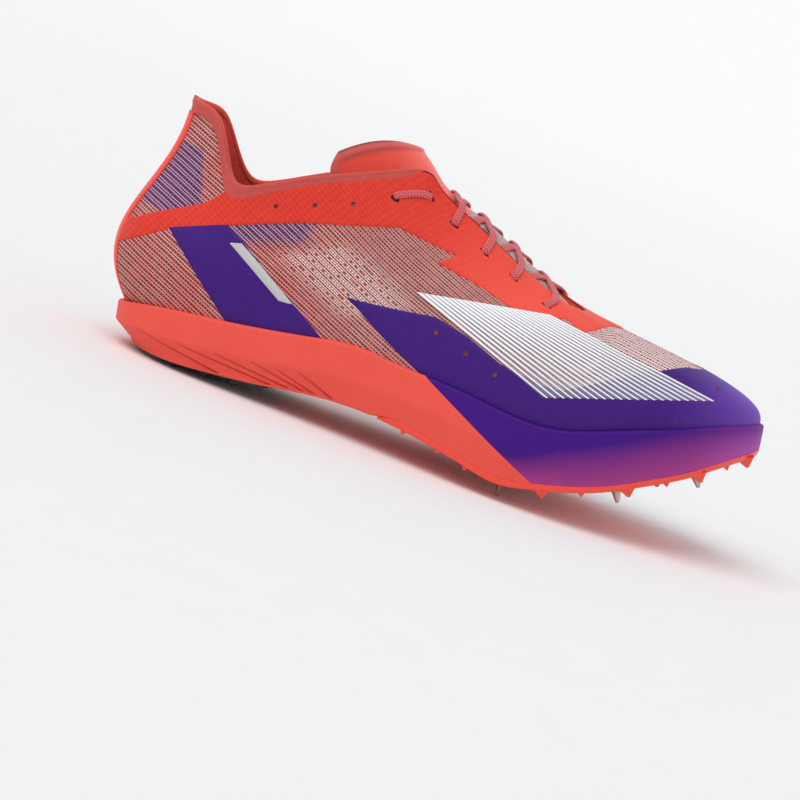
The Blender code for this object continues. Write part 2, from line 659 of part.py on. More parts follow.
# Heel tape: bonded strip standing proud of the back of the upper.
tape_turns, tape_ups = np.meshgrid(
    0.5 + np.array((-1, 0, 1)) / LOOP_STEPS, np.linspace(0.03, TAPE_TOP, 15), indexing="ij"
)
tape_points = wall(tape_turns, tape_ups) + TAPE_GAP * wall_normal(tape_turns, tape_ups)
tape_faces = [face[::-1] for face in grid_faces(3, 15)]
tape = add_object("heel_tape", tape_points.reshape(-1, 3), tape_faces, plate_material, sheet=True)
solidify(tape, TAPE_THICKNESS, 1.0)

# Lace: pairs of strands crossing over the tongue, and a lock loop on each side at the top.
for i in range(4):
    lower, higher = EYELETS[i], EYELETS[i + 1]
    one = ribbon(f"lace_crossing_{i + 1}", *over_throat(lower, higher, False, 0.55), lace_material)
    two = ribbon(f"lace_strand_{i + 1}", *over_throat(lower, higher, True, 0.55), lace_material)
    add_boolean(one, two, "UNION")
for label, flip in (("lateral", False), ("medial", True)):
    share = np.linspace(0, 1, 9)
    turn = EYELETS[4][1] + (EYELETS[5][1] - EYELETS[4][1]) * share
    up = EYELETS[4][2] + (EYELETS[5][2] - EYELETS[4][2]) * share
    turn = 1 - turn if flip else turn
    normal = wall_normal(turn, up)
    path = wall(turn, up) + LACE_LIFT * normal
    ribbon(f"lace_loop_{label}", path, normal, lace_material)
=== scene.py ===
"""Looks of a cross country running spike, right shoe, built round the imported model.

Frame: +X to the toe, +Y to the inner (medial) side, +Z up, floor at z = 0. Tables are in millimetres.
"""
import math

import bmesh
import bpy
import numpy as np
from mathutils import Euler, Matrix, Vector
from mathutils.geometry import delaunay_2d_cdt


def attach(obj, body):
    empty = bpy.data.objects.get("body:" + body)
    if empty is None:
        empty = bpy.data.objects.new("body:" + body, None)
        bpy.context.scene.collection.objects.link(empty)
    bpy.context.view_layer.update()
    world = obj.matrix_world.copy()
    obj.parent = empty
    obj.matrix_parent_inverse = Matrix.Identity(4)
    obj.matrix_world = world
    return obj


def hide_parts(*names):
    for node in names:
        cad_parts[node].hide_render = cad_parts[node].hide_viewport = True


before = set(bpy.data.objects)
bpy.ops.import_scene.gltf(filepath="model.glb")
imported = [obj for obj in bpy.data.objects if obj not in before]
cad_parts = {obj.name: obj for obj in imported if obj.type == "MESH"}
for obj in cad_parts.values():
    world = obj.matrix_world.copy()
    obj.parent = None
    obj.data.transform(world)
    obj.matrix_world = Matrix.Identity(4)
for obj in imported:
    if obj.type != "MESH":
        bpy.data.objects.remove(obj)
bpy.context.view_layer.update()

# Camera: a long lens on the outer side of the shoe, a little above it. The shoe is pictured with its heel
# raised and stands level here, so the camera leans over by that angle instead.
PICTURE_SIDE = 800
FOCAL_PIXELS = 2760.0
SENSOR_WIDTH = 36.0
AIM_PIXEL = (440, 310)
AIM_POINT = (-0.0028, 0.0, 0.0596)
AIM_DISTANCE = 1.15
CAMERA_TURN, CAMERA_DIP, HEEL_RAISE = (math.radians(angle) for angle in (9.5, 5.0, 20.0))

lean_over = np.array((
    (math.cos(HEEL_RAISE), 0.0, -math.sin(HEEL_RAISE)),
    (0.0, 1.0, 0.0),
    (math.sin(HEEL_RAISE), 0.0, math.cos(HEEL_RAISE)),
))
camera_ahead = lean_over @ (
    -math.sin(CAMERA_TURN) * math.cos(CAMERA_DIP),
    math.cos(CAMERA_TURN) * math.cos(CAMERA_DIP),
    -math.sin(CAMERA_DIP),
)
camera_right = lean_over @ (math.cos(CAMERA_TURN), math.sin(CAMERA_TURN), 0.0)
camera_up = np.cross(camera_right, camera_ahead)


def sight(across, down):
    """Direction in which a pixel of the picture is seen."""
    half = PICTURE_SIDE / 2
    return camera_ahead + ((across - half) * camera_right - (down - half) * camera_up) / FOCAL_PIXELS


def set_out(name, data):
    """Object in the scene made of a mesh, a lamp or a camera."""
    thing = bpy.data.objects.new(name, data)
    bpy.context.scene.collection.objects.link(thing)
    return thing


camera_place = np.array(AIM_POINT) - AIM_DISTANCE * sight(*AIM_PIXEL)
camera_axes = np.array((camera_right, camera_up, -camera_ahead)).T
camera = set_out("camera", bpy.data.cameras.new("camera"))
camera.data.sensor_width = SENSOR_WIDTH
camera.data.lens = FOCAL_PIXELS / PICTURE_SIDE * SENSOR_WIDTH
camera.data.clip_start, camera.data.clip_end = 0.05, 40.0
camera.matrix_world = Matrix.Translation(camera_place) @ Matrix(camera_axes.tolist()).to_4x4()
bpy.context.scene.camera = camera

# Studio: a wide dish of matt pale paper that curves up all round, so that no horizon shows, lit by one
# broad soft lamp over the outer side, a weaker one from the front, and an even sky.
DISH_FLAT, DISH_RADIUS, DISH_RISE, DISH_SIDES = 3.0, 6.0, 3.0, 96
DISH_FIRST_RING, DISH_CURVE = 0.4, 2.2
SKY = (0.93, 0.94, 0.96, 1.0)
SKY_STRENGTH = 0.60
PAPER_DARK, PAPER_LIGHT = (0.865, 0.865, 0.865, 1), (0.885, 0.885, 0.885, 1)
# Name of each lamp, its strength, its spread and its slant: roll, then pitch.
LAMPS = (
    ("key", 1.45, 50.0, (-18.0, -24.0)),
    ("front", 0.20, 70.0, (35.0, -62.0)),
)


def place_node(tree, kind, sockets=(), **settings):
    """Shader node whose sockets hold values or take links."""
    made = tree.nodes.new("ShaderNode" + kind)
    for key, value in settings.items():
        setattr(made, key, value)
    for key, value in dict(sockets).items():
        if isinstance(value, bpy.types.NodeSocket):
            tree.links.new(value, made.inputs[key])
        else:
            made.inputs[key].default_value = value
    return made


def reckon(tree, operation, *values):
    return place_node(tree, "Math", enumerate(values), operation=operation).outputs[0]


def scaled(tree, value, factor, plus):
    """A value times a factor, plus an offset."""
    return reckon(tree, "ADD", reckon(tree, "MULTIPLY", value, factor), plus)


def object_place(tree):
    return place_node(tree, "TexCoord").outputs["Object"]


def mix(tree, share, first, second):
    sockets = {0: share, 6: first, 7: second}
    return place_node(tree, "Mix", sockets, data_type="RGBA").outputs[2]


def grain(tree, place, scale, detail=2.0):
    sockets = {"Vector": place, "Scale": scale, "Detail": detail}
    return place_node(tree, "TexNoise", sockets).outputs["Fac"]


def new_finish(name, sockets):
    """Material with constant values on its shader; returns material, tree and shader."""
    material = bpy.data.materials.new(name)
    material.use_nodes = True
    tree = material.node_tree
    shader = tree.nodes["Principled BSDF"]
    for key, value in sockets.items():
        shader.inputs[key].default_value = value
    return material, tree, shader


def set_bump(tree, shader, height, strength, depth):
    sockets = {"Height": height, "Strength": strength, "Distance": depth}
    tree.links.new(place_node(tree, "Bump", sockets).outputs[0], shader.inputs["Normal"])


def set_colour(tree, shader, colour):
    tree.links.new(colour, shader.inputs["Base Color"])


def set_rough(tree, shader, speck, spread, least):
    """Roughness that rises with the grain from its least value."""
    tree.links.new(scaled(tree, speck, spread, least), shader.inputs["Roughness"])


def speckled(name, sockets, dark, light, scale, detail=2.0, bump=None, rough=None):
    """Material between two tones by a fine grain, which may also give it relief and roughness."""
    material, tree, shader = new_finish(name, sockets)
    speck = grain(tree, object_place(tree), scale, detail)
    set_colour(tree, shader, mix(tree, speck, dark, light))
    if rough:
        set_rough(tree, shader, speck, *rough)
    if bump:
        set_bump(tree, shader, speck, *bump)
    return material


dish_points, dish_faces = [(0.0, 0.0, 0.0)], []
flat_rings = np.linspace(DISH_FIRST_RING, DISH_FLAT, 6)
dish_rings = np.concatenate([flat_rings, np.linspace(DISH_FLAT, DISH_RADIUS, 16)[1:]])
for radius in dish_rings:
    climb = max(0.0, (radius - DISH_FLAT) / (DISH_RADIUS - DISH_FLAT))
    height = DISH_RISE * climb**DISH_CURVE
    for k in range(DISH_SIDES):
        angle = math.tau * k / DISH_SIDES
        dish_points.append((radius * math.cos(angle), radius * math.sin(angle), height))
for k in range(DISH_SIDES):
    j = (k + 1) % DISH_SIDES
    dish_faces.append((0, 1 + k, 1 + j))
    for ring in range(len(dish_rings) - 1):
        low, high = 1 + ring * DISH_SIDES, 1 + (ring + 1) * DISH_SIDES
        dish_faces.append((low + k, high + k, high + j, low + j))
dish_mesh = bpy.data.meshes.new("paper_dish")
dish_mesh.from_pydata(dish_points, [], dish_faces)
dish_mesh.polygons.foreach_set("use_smooth", [True] * len(dish_mesh.polygons))
paper = speckled("paper", {"Roughness": 0.9, "Specular IOR Level": 0.1}, PAPER_DARK, PAPER_LIGHT, 40.0)
dish_mesh.materials.append(paper)
dish = set_out("paper_dish", dish_mesh)

for name, strength, spread, (roll, pitch) in LAMPS:
    lamp = set_out(name, bpy.data.lights.new(name, "SUN"))
    lamp.data.energy = strength
    lamp.data.angle = math.radians(spread)
    lamp.rotation_euler = Euler((math.radians(-pitch), math.radians(roll), 0.0))
world = bpy.data.worlds.new("sky")
world.use_nodes = True
world.node_tree.nodes["Background"].inputs["Color"].default_value = SKY
world.node_tree.nodes["Background"].inputs["Strength"].default_value = SKY_STRENGTH
bpy.context.scene.world = world
bpy.context.scene.view_settings.view_transform = "Standard"

# Midsole: one moulding of light foam, thick at the heel, hollowed under the arch and sprung at the toe.
# Its upper rim is a narrow rounded ledge round the upper; six flutes fan over each side of the heel.
MM = 0.001
SEAM_GAP = 0.3
RIM_LEDGE = 2.6
RIM_ROUND = 1.0
FLOOR_ROUND, PLATE_EDGE_ROUND = 1.2, 0.25
PLATE_THICKNESS = 2.4
PLATE_REAR_X = -12.0
PLATE_RAMP = 14.0
SOLE_HEEL_TURN = 0.33
SOLE_FORE_STEPS, SOLE_HEEL_STEPS, SOLE_SIDE_STEPS = 140, 280, 84
SIDE_SOFTNESS, SIDE_SOFT_STEPS = 0.05, 9
FLUTE_DEPTH, FLUTE_LIP, FLUTE_SCOOP, FLUTE_CREASE = 1.15, 0.3, 3.4, 0.34
FLUTE_REAR_X, FLUTE_REAR_FADE = -128.0, 12.0
FLUTE_GROWTH, FLUTE_GROWTH_POWER, FLUTE_END, FLUTE_END_FADE = 1.3, 0.8, 1.5, 0.3
# Top of the rim inside the ledge: how far out from the feather line, how high over the rim.
RIM_INSIDE = ((0.6, 0.1), (-0.8, 0.5), (-4.0, 0.0))
# Feather line, where the upper meets the sole, from the toe tip round to the back of the heel.
FEATHER_COLUMNS = ("name", "x", "lateral", "medial")
FEATHER_ROWS = (
    ("toe tip", 137.0, 10.0, 10.0),
    ("toe corner", 132.2, -5.5, 24.5),
    ("toe side", 119.0, -21.0, 35.0),
    ("little toe", 95.5, -35.0, 42.5),
    ("fore ball", 68.0, -43.5, 45.6),
    ("ball", 40.0, -45.8, 43.0),
    ("rear ball", 13.0, -43.0, 36.0),
    ("waist", -8.0, -39.5, 31.3),
    ("instep", -28.0, -36.8, 28.8),
    ("quarter", -50.0, -34.8, 28.6),
    ("ankle", -72.0, -33.6, 29.8),
    ("heel front", -90.0, -32.6, 30.8),
    ("heel dip", -103.0, -30.0, 29.6),
    ("heel turn", -113.0, -25.8, 25.8),
    ("tab side", -121.5, -19.3, 19.3),
    ("tab corner", -128.0, -9.8, 9.8),
    ("heel back", -130.5, 0.0, 0.0),
)
# Side profile: x, height of the upper rim; then x, height of the underside.
RIM_PROFILE = (
    (-133.0, 16.5), (-115.0, 21.5), (-80.0, 27.6), (-45.0, 34.2), (-24.0, 37.6), (-8.0, 37.0), (15.0, 37.0),
    (45.0, 35.0), (60.0, 35.3), (72.0, 38.2), (90.0, 44.8), (110.0, 51.8), (124.0, 57.0), (139.0, 61.0),
)
UNDER_PROFILE = (
    (-122.0, 2.2), (-103.0, 2.3), (-82.0, 4.4), (-61.0, 7.2), (-46.0, 10.0), (-27.0, 12.7), (-10.0, 13.3),
    (4.0, 12.6), (21.0, 10.8), (35.0, 8.4), (48.0, 6.8), (60.0, 9.0), (70.0, 11.6), (92.0, 19.3),
    (103.0, 25.0), (118.5, 33.6), (130.0, 41.5), (142.0, 49.0),
)
# Side wall: share of the way round, how far the waist and the bottom edge stand out, the waist's height.
SIDE_COLUMNS = ("turn", "waist_out", "floor_out", "waist_share")
SIDE_ROWS = (
    (0.00, 3.4, 4.0, 0.45), (0.06, 3.1, 2.6, 0.45), (0.14, 3.0, 1.4, 0.45), (0.26, 2.8, 0.2, 0.45),
    (0.36, 2.6, -1.0, 0.42), (0.43, 2.4, -3.0, 0.42), (0.475, 1.8, -6.5, 0.42), (0.50, 1.0, -8.5, 0.42),
)
# Flutes of the heel: where each starts and where it runs out over the bottom edge.
FLUTE_COLUMNS = ("start_x", "start_z", "end_x", "end_z")
FLUTES = (
    (-117, 10.9, -79, 6.4), (-98, 11.8, -57, 9.6), (-81, 13.7, -44, 10.7),
    (-65, 16.1, -36, 11.4), (-54, 17.1, -31, 11.6), (-45, 19.5, -25, 12.8),
)
# Where the coral foam ends and the violet coat of the forefoot begins, on the side of the sole.
COAT_TOP, COAT_LOW = (5.0, 37.6), (61.0, 12.0)
# The coat runs from magenta at the bottom to violet: how fast the violet draws back in front of the ball and
# comes down behind it, how that lessens up the side, and the level at which the violet is full.
COAT_BALL_X, COAT_FORE_PULL, COAT_REAR_PULL = 67.0, 0.0094, 0.025
COAT_PULL_LOW, COAT_PULL_LESS, COAT_VIOLET_FROM = 1.25, 0.45, 0.70
TOE_TINT_FROM, TOE_TINT_TO = 112.0, 140.0


def tone(red, green, blue):
    """Colour of a finish from its screen value, 0 to 255."""
    return (*(((c / 255 + 0.055) / 1.055)**2.4 if c > 10 else c / 3294.6 for c in (red, green, blue)), 1.0)


def fade(tree, value, low, high):
    """0 below low, 1 above high, smooth between."""
    sockets = {"Value": value, "From Min": low, "From Max": high}
    return place_node(tree, "MapRange", sockets, interpolation_type="SMOOTHSTEP").outputs[0]


def weighed(tree, first, share, second, other_share):
    """Sum of two values, each times its share."""
    return scaled(tree, first, share, reckon(tree, "MULTIPLY", second, other_share))


def split(tree, vector):
    return place_node(tree, "SeparateXYZ", {0: vector}).outputs


def surface_map(tree):
    return place_node(tree, "UVMap", uv_map="surface").outputs[0]


def cubic(knots, values, period=None):
    """Smooth curve through table rows, open (natural ends) or closed with the given period."""
    knots = np.asarray(knots, dtype=float)
    values = np.asarray(values, dtype=float)
    values = values.reshape(len(values), -1)
    if period:
        knots = np.append(knots, knots[0] + period)
        values = np.vstack([values, values[:1]])
    count = len(knots)
    step = np.diff(knots)
    slope = np.diff(values, axis=0) / step[:, None]
    matrix = np.zeros((count, count))
    right = np.zeros(values.shape)
    for i in range(1, count - 1):
        matrix[i, i - 1:i + 2] = step[i - 1], 2 * (step[i - 1] + step[i]), step[i]
        right[i] = 6 * (slope[i] - slope[i - 1])
    if period:
        matrix[0, 0], matrix[0, -1] = 1, -1
        matrix[-1, 0], matrix[-1, 1] = 2 * step[0], step[0]
        matrix[-1, -2], matrix[-1, -1] = step[-1], 2 * step[-1]
        right[-1] = 6 * (slope[0] - slope[-1])
    else:
        matrix[0, 0] = matrix[-1, -1] = 1
    bend = np.linalg.solve(matrix, right)

    def curve(at):
        at = np.asarray(at, dtype=float)
        if period:
            at = knots[0] + np.mod(at - knots[0], period)
        i = np.clip(np.searchsorted(knots, at, side="right") - 1, 0, count - 2)
        gap = step[i][..., None]
        a = (knots[i + 1] - at)[..., None] / gap
        b = 1 - a
        bow = (a**3 - a) * bend[i] + (b**3 - b) * bend[i + 1]
        return a * values[i] + b * values[i + 1] + bow * gap**2 / 6

    return curve


rim_curve = cubic(*zip(*RIM_PROFILE))
under_curve = cubic(*zip(*UNDER_PROFILE))
feather = np.array([row[1:] for row in FEATHER_ROWS], dtype=float)
chords = np.hypot(np.diff(feather[:, 0]), np.diff(feather[:, 1]))
half_turns = np.concatenate([[0.0], np.cumsum(chords)]) / chords.sum() / 2
station_turns = np.concatenate([half_turns, 1 - half_turns[-2:0:-1]])
side_table = np.array(SIDE_ROWS, dtype=float)
side_curve = cubic(side_table[:, 0], side_table[:, 1:])


def round_loop(lateral, medial):
    """Closed curve over the turn: 0 at the toe tip, 0.5 at the heel by the lateral side, on to 1."""
    return cubic(station_turns, np.vstack([lateral, medial[-2:0:-1]]), 1.0)


feather_curve = round_loop(feather[:, (0, 1)], feather[:, (0, 2)])


def rim_height(x):
    return rim_curve(x)[..., 0]


def under_height(x):
    return under_curve(x)[..., 0]


def unit(vectors):
    return vectors / np.linalg.norm(vectors, axis=-1, keepdims=True)


def outward(turn):
    """Level direction out of the shoe at the feather line."""
    run = feather_curve(turn + 1e-4) - feather_curve(turn - 1e-4)
    normal = np.stack([-run[..., 1], run[..., 0], np.zeros(run.shape[:-1])], axis=-1)
    return unit(normal)


def half_turn(turn):
    """Share of the way from toe to heel on either side, 0 to 0.5."""
    return 0.5 - np.abs(np.mod(turn, 1.0) - 0.5)


def side_at(turn):
    return side_curve(half_turn(turn))


def beside(turn, out):
    """Plan line round the sole, standing out from the feather line."""
    return feather_curve(turn) + outward(turn)[..., :2] * np.reshape(out, (-1, 1))


def ease(x, start, reach):
    """Smooth step from 0 at the start to 1 after the reach."""
    share = np.clip((x - start) / reach, 0, 1)
    return share * share * (3 - 2 * share)


def plate_ramp(x):
    return ease(x, PLATE_REAR_X, PLATE_RAMP)


def midsole_under(x):
    ramp = plate_ramp(x)
    return under_height(x) + ramp * PLATE_THICKNESS + np.clip(5 * ramp, 0, 1) * SEAM_GAP


def make_piece(name, points, faces, materials, smooth=True, turn_out=True):
    """Mesh object from points in millimetres, its faces turned outward."""
    mesh = bpy.data.meshes.new(name)
    mesh.from_pydata((np.asarray(points, dtype=float) * MM).tolist(), [], faces)
    if turn_out:
        body = bmesh.new()
        body.from_mesh(mesh)
        bmesh.ops.recalc_face_normals(body, faces=body.faces)
        body.to_mesh(mesh)
        body.free()
    for material in materials:
        mesh.materials.append(material)
    mesh.polygons.foreach_set("use_smooth", [smooth] * len(mesh.polygons))
    return set_out(name, mesh)


def set_cloth_map(piece, places):
    """Map of the piece's own surface from one pair of values for each point."""
    mesh = piece.data
    corners = np.empty(len(mesh.loops), dtype=int)
    mesh.loops.foreach_get("vertex_index", corners)
    layer = mesh.uv_layers.new(name="surface")
    layer.data.foreach_set("uv", np.asarray(places, dtype=np.float32)[corners].ravel())


def sharpen(piece, degrees=35.0):
    """Creases the shading where faces meet at more than the angle."""
    piece.data.set_sharp_from_angle(angle=math.radians(degrees))


def fit(piece, slot, *nodes):
    """Rides the shoe and stands for the named solids, which it hides. The slot is not used."""
    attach(piece, "root")
    if nodes:
        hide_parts(*nodes)


def strip_cap(base, count, flip):
    """Triangles across a closed line whose two halves mirror each other."""
    half = count // 2
    strips = [(0, 1, count - 1), (half - 1, half, half + 1)]
    strips += [(i, i + 1, count - i) for i in range(1, half - 1)]
    strips += [(i + 1, count - i - 1, count - i) for i in range(1, half - 1)]
    return [tuple(base + i for i in (strip[::-1] if flip else strip)) for strip in strips]


def tube_faces(rows, count):
    """Quads between closed lines stored one after another."""
    faces = []
    for row in range(rows - 1):
        low, high = row * count, (row + 1) * count
        for i in range(count):
            k = (i + 1) % count
            faces.append((low + i, low + k, high + k, high + i))
    return faces


def closed_faces(rows, count):
    """Quads between closed lines, with the first and the last line filled."""
    return tube_faces(rows, count) + strip_cap(0, count, False) + strip_cap((rows - 1) * count, count, True)


def flute_cut(x, z):
    """How far the flutes sink the side of the heel, and how near each point is to the crease under a sharp
    lip, where painted shade darkens the foam.
    """
    cut, crease_shade = np.zeros(x.shape), np.zeros(x.shape)
    for start_x, start_z, end_x, end_z in FLUTES:
        run = np.array((end_x - start_x, end_z - start_z))
        length = np.linalg.norm(run)
        run = run / length
        along = ((x - start_x) * run[0] + (z - start_z) * run[1]) / length
        above = (z - start_z) * run[0] - (x - start_x) * run[1]
        deep = np.clip(along * FLUTE_GROWTH, 0, 1)**FLUTE_GROWTH_POWER
        deep = deep * np.clip((FLUTE_END - along) / FLUTE_END_FADE, 0, 1)
        shape = np.where(above > 0, np.clip(1 - above / FLUTE_LIP, 0, 1), np.exp(above / FLUTE_SCOOP))
        cut = np.maximum(cut, deep * shape)
        crease_shade = np.maximum(crease_shade, np.sqrt(deep) * np.exp(-(above / FLUTE_CREASE)**2))
    return FLUTE_DEPTH * cut, crease_shade


half_loop = np.concatenate([
    np.linspace(0, SOLE_HEEL_TURN, SOLE_FORE_STEPS, endpoint=False),
    np.linspace(SOLE_HEEL_TURN, 0.5, SOLE_HEEL_STEPS),
])
sole_turns = np.concatenate([half_loop, 1 - half_loop[-2:0:-1]])
sole_count = len(sole_turns)
waist_out, floor_out, waist_share = side_at(sole_turns).T
floor_z = midsole_under(beside(sole_turns, floor_out)[:, 0])
rim_z = rim_height(beside(sole_turns, np.full(sole_count, RIM_LEDGE))[:, 0])
side_high = rim_z - RIM_ROUND - floor_z
floor_round = FLOOR_ROUND + (PLATE_EDGE_ROUND - FLOOR_ROUND) * plate_ramp(feather_curve(sole_turns)[:, 0])
sole_rows, sole_maps = [], []


def sole_row(out, z, share, crease_shade=0.0):
    sole_rows.append(np.column_stack([beside(sole_turns, out), z]))
    sole_maps.append(np.column_stack([np.broadcast_to(value, sole_count) for value in (crease_shade, share)]))


for inset in (6.0, 3.0):
    sole_row(floor_out - floor_round - inset, floor_z, 0.0)
for angle in np.radians((0, 25, 50, 75)):
    inset, rise = floor_round * (1 - math.sin(angle)), floor_round * (1 - math.cos(angle))
    sole_row(floor_out - inset, floor_z + rise, 0.0)
spread = np.linspace(-SIDE_SOFTNESS, SIDE_SOFTNESS, SIDE_SOFT_STEPS)
for share in np.linspace(0, 1, SOLE_SIDE_STEPS):
    out = 0
    for shift in spread:
        at = np.clip(share + shift, 0, 1)
        low = floor_out + (waist_out - floor_out) * at / waist_share
        high = waist_out + (RIM_LEDGE - waist_out) * (at - waist_share) / (1 - waist_share)
        out = out + np.where(at < waist_share, low, high) / len(spread)
    z = floor_z + floor_round + (side_high - floor_round) * share
    x = beside(sole_turns, out)[:, 0]
    away_from_back = np.clip((x - FLUTE_REAR_X) / FLUTE_REAR_FADE, 0, 1)
    cut, crease_shade = flute_cut(x, z)
    sole_row(out - cut * away_from_back, z, share, crease_shade * away_from_back)
for angle in np.radians((30, 60, 90)):
    out = np.full(sole_count, RIM_LEDGE - RIM_ROUND * (1 - math.cos(angle)))
    sole_row(out, rim_z - RIM_ROUND * (1 - math.sin(angle)), 1.0)
for out, rise in RIM_INSIDE:
    sole_row(np.full(sole_count, out), rim_z + rise, 1.0)
sole_faces = closed_faces(len(sole_rows), sole_count)

foam, tree, shader = new_finish("moulded_foam", {"Roughness": 0.62, "Specular IOR Level": 0.2})
place = object_place(tree)
spot = split(tree, place)
surface = split(tree, surface_map(tree))
crease_shade, rise = surface[0], surface[1]
slant = np.array((COAT_TOP[1] - COAT_LOW[1], COAT_LOW[0] - COAT_TOP[0]))
slant = slant / np.linalg.norm(slant)
coat_start = float(slant @ COAT_TOP) * MM
across = weighed(tree, spot[0], slant[0], spot[2], slant[1])
coat = fade(tree, across, coat_start - 0.0001, coat_start + 0.0002)
cloudy = grain(tree, place, 90.0)
fine = grain(tree, place, 1800.0, 3.0)
coral_foam = mix(tree, cloudy, tone(240, 90, 76), tone(234, 84, 72))
# Painted shade: the foam is darkened to deep red in the crease under each flute's lip.
coral_foam = mix(tree, reckon(tree, "MULTIPLY", crease_shade, 0.95), coral_foam, tone(176, 30, 26))
past_ball = reckon(tree, "SUBTRACT", reckon(tree, "DIVIDE", spot[0], MM), COAT_BALL_X)
before_ball = reckon(tree, "MINIMUM", past_ball, 0.0)
pull = weighed(tree, past_ball, COAT_FORE_PULL, before_ball, COAT_REAR_PULL)
eased = reckon(tree, "SUBTRACT", COAT_PULL_LOW, reckon(tree, "MULTIPLY", rise, COAT_PULL_LESS))
pull = reckon(tree, "MULTIPLY", pull, eased)
level = reckon(tree, "MULTIPLY", rise, reckon(tree, "SUBTRACT", 1.0, pull))
toe_tint = fade(tree, spot[0], TOE_TINT_FROM * MM, TOE_TINT_TO * MM)
magenta = mix(tree, toe_tint, tone(164, 60, 130), tone(172, 76, 166))
violet = mix(tree, reckon(tree, "DIVIDE", level, COAT_VIOLET_FROM), magenta, tone(62, 8, 124))
set_colour(tree, shader, mix(tree, coat, coral_foam, violet))
set_rough(tree, shader, fine, 0.2, 0.5)
set_bump(tree, shader, reckon(tree, "ADD", fine, cloudy), 0.18, 0.0004)
midsole = make_piece("midsole_foam", np.vstack(sole_rows), sole_faces, [foam])
set_cloth_map(midsole, np.vstack(sole_maps))
fit(midsole, "midsole", "midsole")

# Heel outsole: a thin pad of dark rubber let into the heel, moulded with rows of pyramid teeth.
# The teeth are one bevelled pyramid set on points along the pad.
HEEL_PAD_THICKNESS = 1.4
HEEL_PAD_INSET = 2.5
HEEL_PAD_FRONT_X = -52.0
HEEL_PAD_PROUD = 0.35
HEEL_PAD_REAR_TURN, HEEL_PAD_STEPS = 0.498, 90
BIG_TOOTH_WIDTH, BIG_TOOTH_HEIGHT = 7.0, 3.4
SMALL_TOOTH_WIDTH, SMALL_TOOTH_HEIGHT = 3.6, 1.7
TOOTH_TIP, TOOTH_ROOT, TOOTH_ROUND = 0.16, 0.7, 0.03
HEEL_TEETH_COLUMNS = ("x", "big")
HEEL_TEETH = (
    (-105.0, False), (-98.0, True), (-90.5, False), (-84.0, True), (-77.0, False), (-71.0, True),
    (-65.0, False), (-59.5, True),
)
HEEL_TOOTH_SHARES = (0.125, 0.38, 0.62, 0.875)


def build_strew():
    """Node tree that sets one template on every point, turned and sized by the point's own values."""
    tree = bpy.data.node_groups.new("strewn_templates", "GeometryNodeTree")
    face = tree.interface
    face.new_socket("Points", in_out="INPUT", socket_type="NodeSocketGeometry")
    face.new_socket("Template", in_out="INPUT", socket_type="NodeSocketObject")
    face.new_socket("Size", in_out="INPUT", socket_type="NodeSocketFloat")
    face.new_socket("Finish", in_out="INPUT", socket_type="NodeSocketMaterial")
    face.new_socket("Geometry", in_out="OUTPUT", socket_type="NodeSocketGeometry")
    new, link = tree.nodes.new, tree.links.new
    start, end = new("NodeGroupInput"), new("NodeGroupOutput")
    template = new("GeometryNodeObjectInfo")
    turning, stretch = new("GeometryNodeInputNamedAttribute"), new("GeometryNodeInputNamedAttribute")
    turning.data_type = stretch.data_type = "FLOAT_VECTOR"
    turning.inputs["Name"].default_value = "turning"
    stretch.inputs["Name"].default_value = "stretch"
    sized = new("ShaderNodeVectorMath")
    sized.operation = "SCALE"
    setting = new("GeometryNodeInstanceOnPoints")
    whole, painted = new("GeometryNodeRealizeInstances"), new("GeometryNodeSetMaterial")
    link(start.outputs["Template"], template.inputs["Object"])
    link(start.outputs["Points"], setting.inputs["Points"])
    link(template.outputs["Geometry"], setting.inputs["Instance"])
    link(turning.outputs["Attribute"], setting.inputs["Rotation"])
    link(stretch.outputs["Attribute"], sized.inputs[0])
    link(start.outputs["Size"], sized.inputs["Scale"])
    link(sized.outputs[0], setting.inputs["Scale"])
    link(setting.outputs[0], whole.inputs[0])
    link(whole.outputs[0], painted.inputs["Geometry"])
    link(start.outputs["Finish"], painted.inputs["Material"])
    link(painted.outputs[0], end.inputs[0])
    return tree


strew_tree = build_strew()


def strew(name, template, places, normals, sizes, material, headings=None):
    """One mesh of a template repeated at places, its Z axis along the normals."""
    cloud = bpy.data.meshes.new(name + "_points")
    cloud.from_pydata((np.asarray(places) * MM).tolist(), [], [])
    turnings = []
    for i, normal in enumerate(normals):
        up = Vector(normal).normalized()
        ahead = Vector(headings[i]) if headings is not None else Vector((1.0, 0.0, 0.0))
        ahead = (ahead - up * ahead.dot(up)).normalized()
        turnings.append(Matrix((ahead, up.cross(ahead), up)).transposed().to_euler())
    for key, values in (("turning", turnings), ("stretch", sizes)):
        layer = cloud.attributes.new(key, "FLOAT_VECTOR", "POINT")
        layer.data.foreach_set("vector", np.array([tuple(v) for v in values], dtype=np.float32).ravel())
    holder = set_out(name + "_points", cloud)
    step = holder.modifiers.new("strew", "NODES")
    step.node_group = strew_tree
    for socket in strew_tree.interface.items_tree:
        if socket.in_out == "INPUT" and socket.name in ("Template", "Size", "Finish"):
            step[socket.identifier] = {"Template": template, "Size": MM, "Finish": material}[socket.name]
    whole = bpy.data.meshes.new_from_object(holder.evaluated_get(bpy.context.evaluated_depsgraph_get()))
    bpy.data.objects.remove(holder, do_unlink=True)
    whole.name = name
    if not whole.materials:
        whole.materials.append(material)
    return set_out(name, whole)


def join(whole, *others):
    """Adds the meshes of other pieces to one piece."""
    body = bmesh.new()
    for piece in (whole, *others):
        body.from_mesh(piece.data)
    body.to_mesh(whole.data)
    body.free()
    for piece in others:
        bpy.data.objects.remove(piece, do_unlink=True)
    return whole


def bevel(piece, width, segments=2):
    """Rounds the sharp edges of a mesh and makes the result plain."""
    step = piece.modifiers.new("edges", "BEVEL")
    step.width, step.segments, step.limit_method = width * MM, segments, "ANGLE"
    step.angle_limit = math.radians(30)
    whole = bpy.data.meshes.new_from_object(piece.evaluated_get(bpy.context.evaluated_depsgraph_get()))
    piece.modifiers.clear()
    piece.data = whole
    return piece


